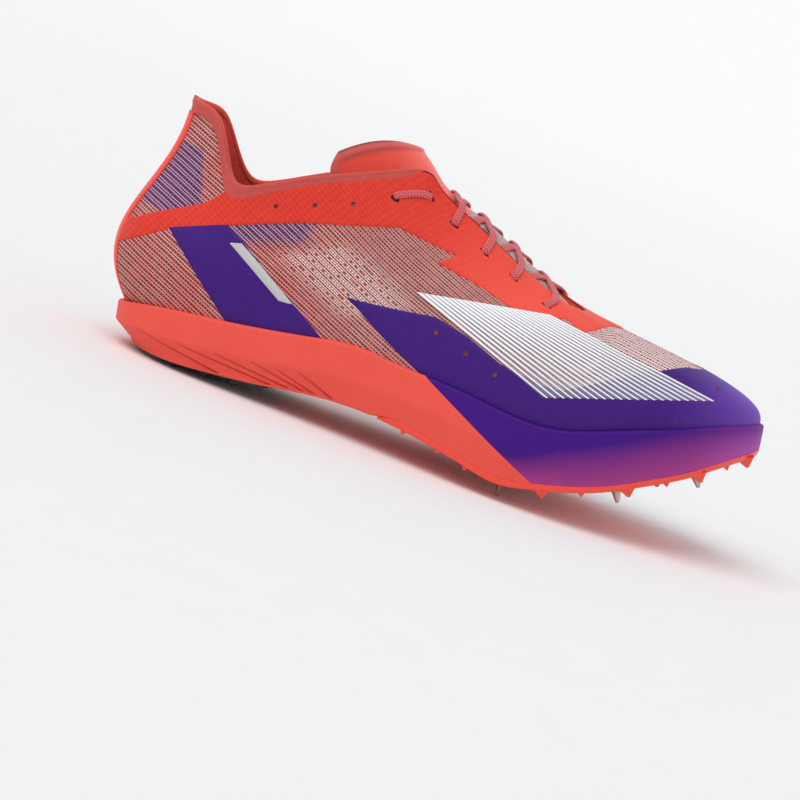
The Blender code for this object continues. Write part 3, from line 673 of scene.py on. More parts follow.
def pyramid_template():
    """Pyramid one unit wide and one high that points down from the plane z = 0, its edges rounded."""
    square = ((-0.5, -0.5), (0.5, -0.5), (0.5, 0.5), (-0.5, 0.5))
    mesh = bpy.data.meshes.new("tooth")
    tip = [(TOOTH_TIP * x, TOOTH_TIP * y, -1.0) for x, y in square]
    mesh.from_pydata([(x, y, 0.0) for x, y in square] + tip, [], [
        (3, 2, 1, 0), (4, 5, 6, 7), (0, 1, 5, 4), (1, 2, 6, 5), (2, 3, 7, 6), (3, 0, 4, 7),
    ])
    body = bmesh.new()
    body.from_mesh(mesh)
    bmesh.ops.recalc_face_normals(body, faces=body.faces)
    slopes = [edge for edge in body.edges if any(v.co.z < -0.5 for v in edge.verts)]
    bmesh.ops.bevel(body, geom=slopes, offset=TOOTH_ROUND, segments=2, affect="EDGES", profile=0.5)
    body.to_mesh(mesh)
    body.free()
    return set_out("tooth", mesh)


def underside_normal(x):
    """Direction straight up from the slanted underside at x."""
    slope = float(under_height(np.array(x + 2.0)) - under_height(np.array(x - 2.0))) / 4.0
    return np.array((-slope, 0.0, 1.0)) / math.hypot(slope, 1.0)


tooth = pyramid_template()
rubber = speckled(
    "dark_rubber", {"Specular IOR Level": 0.4}, tone(58, 58, 60), tone(78, 78, 80), 700.0, 4.0,
    bump=(0.25, 0.0003), rough=(0.25, 0.45),
)

pad_turns = np.linspace(HEEL_PAD_REAR_TURN, SOLE_HEEL_TURN, HEEL_PAD_STEPS)
pad_out = side_at(pad_turns)[:, 1] - HEEL_PAD_INSET
pad_lateral, pad_medial = beside(pad_turns, pad_out), beside(1 - pad_turns, pad_out)
pad_inside = pad_lateral[:, 0] < HEEL_PAD_FRONT_X
pad_lateral, pad_medial = pad_lateral[pad_inside], pad_medial[pad_inside]
pad_x = pad_lateral[:, 0]
pad_count = len(pad_x)
pad_points, pad_faces = [], []
for lift in (-HEEL_PAD_PROUD, HEEL_PAD_THICKNESS):
    for side_line in (pad_lateral, pad_medial):
        pad_points.append(np.column_stack([pad_x, side_line[:, 1], under_height(pad_x) + lift]))
for i in range(pad_count - 1):
    a, b, c, d = (k * pad_count + i for k in range(4))
    pad_faces += [(a, b, b + 1, a + 1), (c, c + 1, d + 1, d), (a, a + 1, c + 1, c), (b, d, d + 1, b + 1)]
for i in (0, pad_count - 1):
    pad_faces.append(tuple(k * pad_count + i for k in (0, 2, 3, 1)))
heel_pad = bevel(make_piece("heel_rubber", np.vstack(pad_points), pad_faces, [rubber], smooth=False), 0.25)
tooth_places, tooth_sizes = [], []
for x, big in HEEL_TEETH:
    width, height = (BIG_TOOTH_WIDTH, BIG_TOOTH_HEIGHT) if big else (SMALL_TOOTH_WIDTH, SMALL_TOOTH_HEIGHT)
    base = float(under_height(np.array(x)))
    lateral_y, medial_y = (float(np.interp(x, pad_x, line[:, 1])) for line in (pad_lateral, pad_medial))
    for share in HEEL_TOOTH_SHARES:
        tooth_places.append((x, lateral_y + (medial_y - lateral_y) * share, base + TOOTH_ROOT))
        tooth_sizes.append((width, width, min(height, base) + TOOTH_ROOT))
upright = [(0.0, 0.0, 1.0)] * len(tooth_places)
heel_teeth = strew("heel_teeth", tooth, tooth_places, upright, tooth_sizes, rubber)
heel_outsole = join(heel_pad, heel_teeth)
sharpen(heel_outsole)
fit(heel_outsole, "rubber", "heel_outsole")

# Spike plate: a stiff moulded plate under the forefoot, tapered out toward the arch, with big and small
# pyramid teeth along its edge and over its underside.
PLATE_STEPS = 300
PLATE_REAR_SHARE = 0.3
PLATE_TEETH_COLUMNS = ("x", "inset", "big")
PLATE_TEETH = (
    (5.0, 2.2, False), (21.0, 2.4, False), (34.0, 2.4, False), (66.0, 4.0, True), (81.0, 2.6, False),
    (97.5, 4.0, True), (111.0, 3.0, False), (122.0, 4.0, True), (131.0, 3.0, False),
    (64.0, 24.0, True), (78.0, 30.0, True), (106.0, 26.0, True), (137.5, 4.0, True),
)
# Section of the plate's edge: inset from the edge, share of the plate's depth, how far it stands over that.
PLATE_SECTION = (
    (0.5, 0.0, 0.0), (0.12, 0.1, 0.0), (0.0, 0.3, 0.0), (-0.1, 0.85, 0.1), (-0.1, 1.0, 0.35),
    (0.2, 1.0, 0.5), (1.0, 1.0, 0.5),
)
plastic = speckled(
    "plate_plastic", {"Coat Weight": 0.25, "Coat Roughness": 0.2}, tone(246, 72, 48), tone(236, 62, 42),
    900.0, 3.0, bump=(0.12, 0.0003), rough=(0.2, 0.3),
)

plate_turns = np.arange(-PLATE_STEPS // 3, PLATE_STEPS // 3 + 1) / PLATE_STEPS
plate_line = beside(plate_turns, side_at(plate_turns)[:, 1])
plate_keep = plate_line[:, 0] > PLATE_REAR_X + PLATE_REAR_SHARE * PLATE_RAMP
plate_turns, plate_line = plate_turns[plate_keep], plate_line[plate_keep]
plate_out = side_at(plate_turns)[:, 1]
plate_deep = plate_ramp(plate_line[:, 0]) * PLATE_THICKNESS
plate_count = len(plate_turns)
plate_rows = []
for inset, share, over in PLATE_SECTION:
    line = beside(plate_turns, plate_out - inset)
    height = under_height(line[:, 0]) + plate_deep * share + over * plate_ramp(line[:, 0])
    plate_rows.append(np.column_stack([line, height]))
plate_faces = []
for row in range(len(plate_rows) - 1):
    low, high = row * plate_count, (row + 1) * plate_count
    plate_faces += [(low + i, low + i + 1, high + i + 1, high + i) for i in range(plate_count - 1)]
middle = plate_count // 2
for base in (0, (len(plate_rows) - 1) * plate_count):
    strips = [(middle - 1, middle, middle + 1)]
    strips += [(middle - i, middle + i, middle + i + 1, middle - i - 1) for i in range(1, middle)]
    plate_faces += [tuple(base + i for i in strip) for strip in strips]
plate_faces.append(tuple(row * plate_count for row in range(len(plate_rows)))
                   + tuple((row + 1) * plate_count - 1 for row in reversed(range(len(plate_rows)))))
plate_body = make_piece("plate_body", np.vstack(plate_rows), plate_faces, [plastic])


def plate_edge(x, lateral):
    """Sideways place of the plate's edge at x."""
    line = plate_line[middle:] if lateral else plate_line[:middle + 1]
    order = np.argsort(line[:, 0])
    return float(np.interp(x, line[order, 0], line[order, 1]))


tooth_places, tooth_sizes, tooth_normals = [], [], []
for x, inset, big in PLATE_TEETH:
    width, height = (BIG_TOOTH_WIDTH, BIG_TOOTH_HEIGHT) if big else (SMALL_TOOTH_WIDTH, SMALL_TOOTH_HEIGHT)
    normal = underside_normal(x)
    for lateral in (True, False):
        y = plate_edge(x, lateral) + (inset if lateral else -inset)
        tooth_places.append(np.array((x, y, float(under_height(np.array(x))))) + normal * TOOTH_ROOT)
        tooth_sizes.append((width, width, height + TOOTH_ROOT))
        tooth_normals.append(normal)
plate_teeth = strew("plate_teeth", tooth, tooth_places, tooth_normals, tooth_sizes, plastic)
spike_plate = join(plate_body, plate_teeth)
sharpen(spike_plate)
fit(spike_plate, "plate", "spike_plate")
bpy.data.objects.remove(tooth, do_unlink=True)

# Spikes: turned steel pins screwed into the plate, each on a dark washer; the rear pair reaches the floor.
SPIKE_LENGTH = 6.0
SPIKE_SIDES = 40
SPIKE_CLEAR = 0.15
SPIKES_COLUMNS = ("node", "x", "y")
SPIKES = (
    ("spike_rear_lateral", 49.0, -32.0), ("spike_mid_lateral", 92.5, -22.0),
    ("spike_front_lateral", 120.0, -6.0), ("spike_rear_medial", 49.0, 32.0),
    ("spike_mid_medial", 92.5, 29.0), ("spike_front_medial", 120.0, 18.0),
)
# Radius and depth below the plate of the turned pin, and of the washer it clamps.
PIN_PROFILE = (
    (0.0, -0.4), (2.9, -0.4), (2.9, 0.9), (2.75, 1.15), (2.3, 1.3), (2.0, 1.45), (1.75, 2.2), (1.45, 3.4),
    (1.05, 4.8), (0.75, 5.7), (0.55, 5.92), (0.0, 6.0),
)
WASHER_PROFILE = ((2.9, 0.0), (4.0, 0.0), (4.1, 0.25), (4.05, 0.6), (3.8, 0.85), (3.2, 0.95), (2.9, 0.8))


def turned(name, profile, sides=SPIKE_SIDES):
    """Lathe work round the Z axis from rows of radius and depth."""
    body = bmesh.new()
    verts = [body.verts.new((radius, 0.0, -depth)) for radius, depth in profile]
    edges = [body.edges.new(pair) for pair in zip(verts, verts[1:])]
    if profile[0][0] > 0:
        edges.append(body.edges.new((verts[-1], verts[0])))
    bmesh.ops.spin(
        body, geom=verts + edges, axis=(0, 0, 1), cent=(0, 0, 0), steps=sides, angle=math.tau,
    )
    bmesh.ops.remove_doubles(body, verts=body.verts, dist=1e-4)
    bmesh.ops.recalc_face_normals(body, faces=body.faces)
    mesh = bpy.data.meshes.new(name)
    body.to_mesh(mesh)
    body.free()
    mesh.polygons.foreach_set("use_smooth", [True] * len(mesh.polygons))
    return set_out(name, mesh)


steel, tree, shader = new_finish("turned_steel", {"Metallic": 1.0})
place = object_place(tree)
rings = place_node(tree, "Mapping", {"Vector": place, "Scale": (300.0, 300.0, 9000.0)}).outputs[0]
lathe_marks = grain(tree, rings, 1.0, 2.0)
# The steel's warm pinkish-brown tint is painted reflection of the coral plate and sole; the lathe marks vary
# it between two tones.
set_colour(tree, shader, mix(tree, lathe_marks, tone(176, 156, 146), tone(206, 190, 180)))
set_rough(tree, shader, lathe_marks, 0.18, 0.2)
set_bump(tree, shader, lathe_marks, 0.1, 0.0002)
spike_places, spike_normals, pin_sizes, washer_sizes = [], [], [], []
for node, x, y in SPIKES:
    level = float(under_height(np.array(x)))
    rear = "rear" in node
    normal = np.array((0.0, 0.0, 1.0)) if rear else underside_normal(x)
    start = SEAM_GAP + SPIKE_CLEAR
    spike_places.append(np.array((x, y, level)) - normal * start)
    spike_normals.append(normal)
    length = level - start if rear else SPIKE_LENGTH
    pin_sizes.append((1.0, 1.0, length / SPIKE_LENGTH))
    washer_sizes.append((1.0, 1.0, 1.0))
pin, washer = turned("pin", PIN_PROFILE), turned("washer", WASHER_PROFILE)
pins = strew("spike_pins", pin, spike_places, spike_normals, pin_sizes, steel)
washers = strew("spike_washers", washer, spike_places, spike_normals, washer_sizes, rubber)
for piece in (pins, washers):
    sharpen(piece, 40.0)
fit(pins, "steel", *(row[0] for row in SPIKES))
fit(washers, "rubber")
for template in (pin, washer):
    bpy.data.objects.remove(template, do_unlink=True)

# Insole: a removable foam footbed with a knitted top cloth, cut to the feather line and lying on the midsole.
# Its edge is rounded and its heel slightly cupped.
INSOLE_THICKNESS = 3.0
INSOLE_INSET = 3.0
INSOLE_CUP = 1.2
INSOLE_STEPS = 240
CUP_FROM_X, CUP_REACH = -60.0, 40.0
# Section of the edge, from below to the top: inset, share of the thickness, share of the cup.
INSOLE_SECTION = (
    (9.0, 0.0, 0), (1.0, 0.0, 0), (0.3, 0.1, 0), (0.0, 0.35, 0), (0.0, 0.7, 0), (0.3, 0.92, 1.0),
    (1.0, 1.0, 1.0), (4.0, 1.0, 0.6), (9.0, 1.0, 0.2), (14.0, 1.0, 0.0),
)
insole_turns = np.arange(INSOLE_STEPS) / INSOLE_STEPS
insole_rows = []
for inset, share, cup in INSOLE_SECTION:
    line = beside(insole_turns, np.full(INSOLE_STEPS, -INSOLE_INSET - inset))
    heel_share = np.clip((CUP_FROM_X - line[:, 0]) / CUP_REACH, 0, 1)
    lift = SEAM_GAP + INSOLE_THICKNESS * share + INSOLE_CUP * cup * heel_share
    insole_rows.append(np.column_stack([line, rim_height(line[:, 0]) + lift]))
insole_faces = closed_faces(len(insole_rows), INSOLE_STEPS)
footbed, tree, shader = new_finish("footbed_cloth", {"Roughness": 0.92, "Sheen Weight": 0.2})
place = object_place(tree)
weave = place_node(tree, "TexBrick", {
    "Vector": place, "Scale": 700.0, "Color1": tone(52, 50, 56), "Color2": tone(66, 62, 68),
    "Mortar": tone(28, 26, 30), "Mortar Size": 0.03, "Brick Width": 0.6, "Row Height": 0.35,
})
set_colour(tree, shader, weave.outputs["Color"])
set_bump(tree, shader, weave.outputs["Fac"], 0.3, 0.0004)
insole = make_piece("insole_footbed", np.vstack(insole_rows), insole_faces, [footbed])
fit(insole, "insole", "insole")

# Upper: a sheer one-piece knit of pale and red threads, lasted over the foot, with a plain tricot lining.
# Its skin is the outer wall; films, tape and collar are bonded on top of it.
UPPER_WALL = 1.8
UPPER_TURN_STEPS, UPPER_UP_STEPS, LINING_UP_STEPS = 480, 64, 24
WALL_COLUMNS = (
    "name", "edge_x", "edge_lateral", "edge_medial", "edge_z", "back", "rise", "splay", "drop", "lean",
)
WALL_ROWS = (
    ("toe tip", 53.0, 1.0, 1.0, 80.6, 0.0, 12, 8, 46, 84),
    ("toe corner", 51.5, -5.0, 7.0, 80.6, 0.0, 12, 8, 44, 82),
    ("toe side", 48.5, -9.0, 11.0, 81.2, 0.0, 13, 8, 40, 78),
    ("little toe", 41.0, -12.0, 13.5, 83.3, 0.0, 16, 8, 36, 70),
    ("fore ball", 30.0, -13.5, 15.0, 87.4, 0.0, 20, 6, 34, 62),
    ("ball", 16.0, -14.5, 15.5, 93.2, 1.0, 24, 4, 32, 52),
    ("rear ball", 1.0, -15.5, 16.0, 100.0, 2.5, 26, 2, 30, 42),
    ("waist", -16.5, -17.5, 17.5, 108.0, 4.5, 26, 0, 28, 34),
    ("instep", -25.0, -20.5, 20.5, 113.0, 5.0, 26, 0, 26, 22),
    ("quarter", -45.0, -25.5, 25.5, 105.3, 4.5, 24, 2, 24, 14),
    ("ankle", -70.0, -28.5, 28.5, 93.6, 4.0, 24, 6, 22, 8),
    ("heel front", -88.0, -28.0, 28.0, 83.8, 4.0, 25, 10, 22, 4),
    ("heel dip", -98.5, -25.0, 25.0, 82.3, 4.0, 27, 15, 22, 2),
    ("heel turn", -106.2, -20.5, 20.5, 91.5, 4.5, 31, 24, 28, -2),
    ("tab side", -115.2, -16.0, 16.0, 103.4, 4.0, 36, 33, 34, -5),
    ("tab corner", -126.0, -9.0, 9.0, 106.4, 1.0, 40.5, 39.5, 37, -8),
    ("heel back", -130.5, 0.0, 0.0, 106.6, 0.0, 42, 41.3, 38, -8),
)
# Soft hollows (below zero) and swells of the lasted knit, on both sides: where, how far they reach, how high.
SOFT_COLUMNS = ("name", "turn", "up", "turn_reach", "up_reach", "height")
SOFT_ROWS = (
    ("ankle hollow", 0.385, 0.62, 0.035, 0.26, -0.9),
    ("heel swell", 0.455, 0.35, 0.03, 0.22, 0.5),
    ("flex hollow", 0.085, 0.80, 0.018, 0.16, -0.7),
    ("toe swell", 0.045, 0.55, 0.03, 0.18, 0.4),
    ("waist hollow", 0.275, 0.30, 0.04, 0.18, -0.6),
    ("eyestay swell", 0.21, 0.90, 0.05, 0.09, 0.35),
)
KNIT_PITCH, KNIT_DASH, KNIT_SLANT = 2.84, 1.4, math.radians(22.0)
# Shares of one knit row: middle of the pair, how far its threads lie from there, middle of the hatched band.
KNIT_PAIR, KNIT_THREAD, KNIT_BAND = 0.30, 0.18, 0.80
# Along the shoe: where the knit pales toward the middle and toward the toe.
MIDDLE_PALE, TOE_PALE = (-75.0, -20.0), (30.0, 75.0)
TOE_FLECKS = 0.45
SOLE_UP, RIM_UP = -0.012, 0.992
EDGE_INWARD = 12.0
# Side view of the skin: where the instep and the toes begin to count, and how much of the top is laid over.
ROLL_FROM_X, ROLL_REACH = -65.0, 50.0
FORE_FROM_X, FORE_REACH = 40.0, 30.0
TOP_OVER, TOE_OVER, TOE_OVER_KNIT = 0.8, 0.25, 0.1
TOE_LEVEL_X, TOE_LEVEL = 75.0, 0.245

wall_table = np.array([row[1:] for row in WALL_ROWS], dtype=float)
edge_lateral = wall_table[:, (0, 1, 3)]
edge_medial = np.column_stack([wall_table[:, 0] - wall_table[:, 4], wall_table[:, 2], wall_table[:, 3]])
edge_curve = round_loop(edge_lateral, edge_medial)
pull_curve = round_loop(wall_table[:, 5:], wall_table[:, 5:])


def wall(turn, up):
    """Outer face of the upper: up is 0 at the feather line and 1 at the collar or throat edge."""
    turn, up = np.broadcast_arrays(np.asarray(turn, dtype=float), np.asarray(up, dtype=float))
    flat = feather_curve(turn)
    foot = np.concatenate([flat, rim_height(flat[..., 0])[..., None] + SEAM_GAP], axis=-1)
    edge, pull, out = edge_curve(turn), pull_curve(turn), outward(turn)
    rise, drop = pull[..., 0:1], pull[..., 2:3]
    splay, lean = np.radians(pull[..., 1:2]), np.radians(pull[..., 3:4])
    inward = unit((edge - foot) * (1, 1, 0) - EDGE_INWARD * out)
    above = np.array((0.0, 0.0, 1.0))
    low = foot + rise * (np.cos(splay) * above + np.sin(splay) * out)
    high = edge - drop * (np.cos(lean) * above + np.sin(lean) * inward)
    t = up[..., None]
    return (1 - t)**3 * foot + 3 * (1 - t)**2 * t * low + 3 * (1 - t) * t**2 * high + t**3 * edge


def wall_normal(turn, up):
    e = 1e-3
    up = np.clip(up, e, 1 - e)
    normal = np.cross(wall(turn, up + e) - wall(turn, up - e), wall(turn + e, up) - wall(turn - e, up))
    return unit(normal)


def skin(turn, up, lift=0.0):
    """Point over the soft outer skin of the upper."""
    turn, up = np.broadcast_arrays(np.asarray(turn, dtype=float), np.asarray(up, dtype=float))
    side = half_turn(turn)
    soft = np.zeros(turn.shape)
    for _, at_turn, at_up, turn_reach, up_reach, height in SOFT_ROWS:
        soft = soft + height * np.exp(-((side - at_turn) / turn_reach)**2 - ((up - at_up) / up_reach)**2)
    return wall(turn, up) + wall_normal(turn, up) * (soft + lift)[..., None]


map_turns, map_ups = np.linspace(0, 0.5, 401), np.linspace(0, 1, 81)
map_wall = wall(*np.meshgrid(map_turns, map_ups, indexing="ij"))
map_up = np.zeros(map_wall.shape[:2])
map_up[:, 1:] = np.cumsum(np.linalg.norm(np.diff(map_wall, axis=1), axis=2), axis=1)
map_along = np.zeros(map_wall.shape[:2])
map_along[1:] = np.cumsum(np.linalg.norm(np.diff(map_wall, axis=0), axis=2), axis=0)
waist_row = len(map_turns) // 2
map_along = map_wall[waist_row, :, 0] - (map_along - map_along[waist_row])


def cloth(turn, up):
    """Place on the flat cloth in millimetres: along the shoe and up the wall."""
    a = half_turn(np.asarray(turn, dtype=float)) * 2 * (len(map_turns) - 1)
    b = np.clip(np.asarray(up, dtype=float), 0, 1) * (len(map_ups) - 1)
    i, j = np.clip(a.astype(int), 0, len(map_turns) - 2), np.clip(b.astype(int), 0, len(map_ups) - 2)
    p, q = a - i, b - j
    return np.stack([
        (1 - p) * ((1 - q) * m[i, j] + q * m[i, j + 1]) + p * ((1 - q) * m[i + 1, j] + q * m[i + 1, j + 1])
        for m in (map_along, map_up)
    ], axis=-1)


def side_view(points, knitted=False):
    """Place of skin points on a flat side view: along the shoe, and up the wall and over the instep.

    Knitted rows lie wider and more level over the toes.
    """
    x, y, z = np.moveaxis(np.asarray(points), -1, 0)
    rear_first = np.array([row[1:] for row in FEATHER_ROWS[::-1]])
    middle = np.interp(x, rear_first[:, 0], rear_first[:, 1:].mean(axis=1))
    half = np.interp(x, rear_first[:, 0], (rear_first[:, 2] - rear_first[:, 1]) / 2)
    out = np.abs(y - middle)
    top = np.maximum(0.0, half - out)
    fore = np.clip((x - FORE_FROM_X) / FORE_REACH, 0, 1)
    toe_over = TOE_OVER_KNIT * top * top / np.maximum(half, 5.0) if knitted else TOE_OVER * top
    over = ((1 - fore) * TOP_OVER * top + fore * toe_over) * ease(x, ROLL_FROM_X, ROLL_REACH)
    if knitted:
        over = over - ease(x, FORE_FROM_X, FORE_REACH) * (x - TOE_LEVEL_X) * TOE_LEVEL
    lead, sink = camera_ahead[0] / camera_ahead[1], camera_ahead[2] / camera_ahead[1]
    return np.stack([x + lead * out, z + sink * out + over], axis=-1)


def apart(tree, value, middle):
    """How far a value is from a middle one."""
    return reckon(tree, "ABSOLUTE", reckon(tree, "SUBTRACT", value, middle))


def new_group(name, inputs, outputs):
    """Empty shader group with named sockets; returns its tree, its start and its end."""
    tree = bpy.data.node_groups.new(name, "ShaderNodeTree")
    for in_out, sockets in (("INPUT", inputs), ("OUTPUT", outputs)):
        for socket, kind in sockets.items():
            tree.interface.new_socket(socket, in_out=in_out, socket_type="NodeSocket" + kind)
    return tree, tree.nodes.new("NodeGroupInput"), tree.nodes.new("NodeGroupOutput")


def build_knit():
    """Shader group: pairs of pale threads with a dark dashed line in each, and hatched red bands between."""
    sockets = {"Cloth": "Vector", "Thread": "Color", "Band": "Color", "Gap": "Color", "Flecks": "Float"}
    tree, start, end = new_group("sheer_knit", sockets, {"Color": "Color", "Height": "Float"})
    cloth_place = start.outputs["Cloth"]
    wander = grain(tree, cloth_place, 0.1, 1.0)
    spot = split(tree, cloth_place)
    u, v = spot[0], spot[1]
    c, s = math.cos(KNIT_SLANT), math.sin(KNIT_SLANT)
    down = weighed(tree, u, s, v, c)
    along = reckon(tree, "SUBTRACT", reckon(tree, "MULTIPLY", u, c), reckon(tree, "MULTIPLY", v, s))
    row_at = scaled(tree, wander, 0.12, reckon(tree, "DIVIDE", down, KNIT_PITCH))
    row, share = reckon(tree, "FLOOR", row_at), reckon(tree, "FRACT", row_at)
    shift = place_node(tree, "TexWhiteNoise", {"W": row}, noise_dimensions="1D").outputs["Value"]
    dash_at = scaled(tree, shift, 5.0, reckon(tree, "DIVIDE", along, KNIT_DASH))
    from_dash = apart(tree, reckon(tree, "FRACT", dash_at), 0.5)
    cell = place_node(tree, "CombineXYZ", {0: row, 1: reckon(tree, "FLOOR", dash_at)}).outputs[0]
    chance = place_node(tree, "TexWhiteNoise", {"Vector": cell}, noise_dimensions="2D").outputs["Value"]
    from_pair = apart(tree, share, KNIT_PAIR)
    from_thread = apart(tree, from_pair, KNIT_THREAD)
    thread = fade(tree, from_thread, 0.07, 0.04)
    in_pair = fade(tree, from_pair, 0.145, 0.12)
    dash_end = scaled(tree, chance, 0.16, 0.22)
    dash = fade(tree, reckon(tree, "SUBTRACT", from_dash, dash_end), 0.05, -0.05)
    core = fade(tree, apart(tree, share, KNIT_BAND), 0.13, 0.07)
    hatch = reckon(tree, "MULTIPLY", dash, core)
    band = mix(tree, reckon(tree, "MULTIPLY", hatch, 0.9), start.outputs["Band"], start.outputs["Gap"])
    fleck = reckon(tree, "MULTIPLY", start.outputs["Flecks"], fade(tree, from_dash, 0.36, 0.26))
    fleck = reckon(tree, "MULTIPLY", fade(tree, chance, 0.30, 0.35), fleck)
    fleck = reckon(tree, "MULTIPLY", fleck, core)
    band = mix(tree, fleck, band, start.outputs["Thread"])
    dark = reckon(tree, "MULTIPLY", dash, scaled(tree, chance, 0.25, 0.75))
    dashes = mix(tree, dark, start.outputs["Band"], start.outputs["Gap"])
    colour = mix(tree, thread, mix(tree, in_pair, band, dashes), start.outputs["Thread"])
    unhatched = reckon(tree, "MULTIPLY", reckon(tree, "SUBTRACT", 1.0, hatch), 0.5)
    height = reckon(tree, "MAXIMUM", thread, unhatched)
    tree.links.new(colour, end.inputs["Color"])
    tree.links.new(height, end.inputs["Height"])
    return tree


knit_group = build_knit()


def use_group(tree, group, sockets):
    return place_node(tree, "Group", sockets, node_tree=group).outputs


def patch(tree, spot, across, rise, soft=1.2):
    """Mask of a four-sided patch in side view, in millimetres; each pair of sides has its lean."""
    x, z = spot[0], spot[2]
    mask = 1.0
    for value, other, (lean, low, high) in ((x, z, across), (z, x, rise)):
        value = scaled(tree, other, lean, value)
        inside = fade(tree, value, (low - soft) * MM, (low + soft) * MM)
        outside = fade(tree, value, (high - soft) * MM, (high + soft) * MM)
        mask = reckon(tree, "MULTIPLY", mask, reckon(tree, "SUBTRACT", inside, outside))
    return mask


# Where a violet backing shows through the knit: lean and limits of its upright sides, then of its level ones.
WING_PATCH = ((0.38, -220.0, -82.5), (0.0, 60.0, 89.0))
QUARTER_PATCH = ((0.0, -92.0, -60.0), (-0.37, 91.4, 108.0))
# Where pale flecks are knitted into the side, limits in the same order.
FLECK_PATCH = ((-1.8, -179.0, -117.0), (0.40, 32.5, 57.5))
knit, tree, shader = new_finish("sheer_knit", {"Roughness": 0.8, "Specular IOR Level": 0.25})
place = object_place(tree)
spot = split(tree, place)
cloudy = fade(tree, grain(tree, place, 55.0), 0.3, 0.7)
behind = reckon(tree, "ADD", patch(tree, spot, *WING_PATCH), patch(tree, spot, *QUARTER_PATCH, 4.0))
toward_toe = fade(tree, spot[0], *(x * MM for x in TOE_PALE))
toward_middle = fade(tree, spot[0], *(x * MM for x in MIDDLE_PALE))
red_band = mix(tree, cloudy, tone(196, 84, 80), tone(186, 94, 90))
red_band = mix(tree, toward_middle, red_band, tone(184, 106, 102))
red_band = mix(tree, toward_toe, red_band, tone(208, 160, 156))
pale_thread = mix(tree, cloudy, tone(216, 166, 158), tone(224, 192, 184))
pale_thread = mix(tree, toward_toe, pale_thread, tone(250, 242, 240))
flecked = patch(tree, spot, *FLECK_PATCH, 6.0)
pale_thread = mix(tree, flecked, pale_thread, tone(240, 230, 224))
pale_knit = use_group(tree, knit_group, {
    "Cloth": surface_map(tree), "Thread": mix(tree, behind, pale_thread, tone(208, 172, 192)),
    "Band": mix(tree, behind, red_band, tone(118, 66, 112)),
    "Gap": mix(tree, behind, tone(40, 16, 18), tone(30, 14, 36)),
    "Flecks": reckon(tree, "MAXIMUM", flecked, reckon(tree, "MULTIPLY", toward_toe, TOE_FLECKS)),
})
set_colour(tree, shader, pale_knit["Color"])
set_bump(tree, shader, pale_knit["Height"], 0.35, 0.0005)
lining, tree, shader = new_finish("tricot_lining", {"Roughness": 0.85, "Sheen Weight": 0.15})
place = object_place(tree)
loops = place_node(tree, "TexVoronoi", {"Vector": place, "Scale": 900.0}).outputs["Distance"]
set_colour(tree, shader, mix(tree, loops, tone(234, 82, 64), tone(212, 62, 48)))
set_bump(tree, shader, loops, 0.3, 0.0004)

upper_turns = np.arange(UPPER_TURN_STEPS) / UPPER_TURN_STEPS
upper_rows, upper_maps = [], []
for up in np.append(np.linspace(SOLE_UP, RIM_UP, UPPER_UP_STEPS), 1.0):
    upper_rows.append(skin(upper_turns, up))
    upper_maps.append(side_view(upper_rows[-1], True))
outer_rows = len(upper_rows)
for turned_in in np.radians((30, 60, 90, 120, 150)):
    lift = -UPPER_WALL / 2 * (1 - math.cos(turned_in))
    over = UPPER_WALL / 2 * math.sin(turned_in) / 100.0
    upward = skin(upper_turns, 1.0) - skin(upper_turns, 0.99)
    upper_rows.append(skin(upper_turns, 1.0, lift) + upward * over)
    upper_maps.append(upper_maps[-1])
for up in np.linspace(1, 0, LINING_UP_STEPS):
    upper_rows.append(skin(upper_turns, up, -UPPER_WALL))
    upper_maps.append(side_view(upper_rows[-1], True))
upper_faces = tube_faces(len(upper_rows), UPPER_TURN_STEPS)
last = (len(upper_rows) - 1) * UPPER_TURN_STEPS
for i in range(UPPER_TURN_STEPS):
    k = (i + 1) % UPPER_TURN_STEPS
    upper_faces.append((last + i, last + k, k, i))
# The topmost strip of the outer wall and the outer part of its rounded rim are dark maroon all round the
# edge: painted shade, standing in for the shadow gap between the eyestay edge and the tongue.
gap_shade_look = {"Roughness": 0.9, "Specular IOR Level": 0.2}
gap_shade = speckled("painted_gap_shade", gap_shade_look, tone(64, 18, 18), tone(96, 28, 26), 1500.0)
upper = make_piece("knit_upper", np.vstack(upper_rows), upper_faces, [knit, lining, gap_shade])
set_cloth_map(upper, np.vstack(upper_maps))
face_rows = np.arange(len(upper_faces)) // UPPER_TURN_STEPS
kinds = np.where(face_rows < outer_rows - 2, 0, np.where(face_rows < outer_rows + 1, 2, 1))
upper.data.polygons.foreach_set("material_index", kinds.astype(np.int32))
fit(upper, "upper", "upper")

# Films: thin printed films pressed onto the knit, cut to the outlines seen on the outer side and mirrored
# onto the inner one. Violet round the forefoot and toe and in a band at the heel, coral over the saddle.
FILM_LIFT, FILM_SUNK, FILM_EDGE = 0.4, 0.15, 0.6
FILM_PITCH = 1.7
FILM_LINE_PITCH = 0.9
FILM_RIM_SHARE = 0.35
FILM_PLANE = np.array((560.0, 80.0))
OUTLINE_COLUMNS = ("place", "across", "down")
OUTLINE_PITCH = 9.0
EDGE_STEPS = 60
# How far films stand over the plain ones: the saddle, the flash; how far the collar band overlaps the saddle.
SADDLE_OVER, FLASH_OVER, COLLAR_OVERLAP = 0.1, 0.25, 0.8
FOREFOOT_EDGE = (
    ("sole", 422, 376), ("lower edge", 384, 339), ("tip", 347, 297), ("upper edge", 359, 301),
    ("first hole", 399, 310), ("second hole", 436, 317), ("side", 468, 337), ("ball", 500, 364),
    ("dip", 540, 385), ("bottom", 562, 391), ("rise", 590, 385), ("toe side", 625, 377), ("toe", 664, 371),
    ("cap", 686, 368),
)
FOREFOOT_CREST_UP = 0.55
HEEL_BAND_EDGE = (
    ("low rear", 226, 323), ("middle rear", 198, 278), ("top rear", 167, 224), ("top front", 228, 224),
    ("middle front", 276, 284), ("low front", 323, 340),
)
REFLECTOR_EDGE = (
    ("top rear", 228, 242), ("top front", 242, 243), ("low front", 294, 306), ("low rear", 278, 301),
)
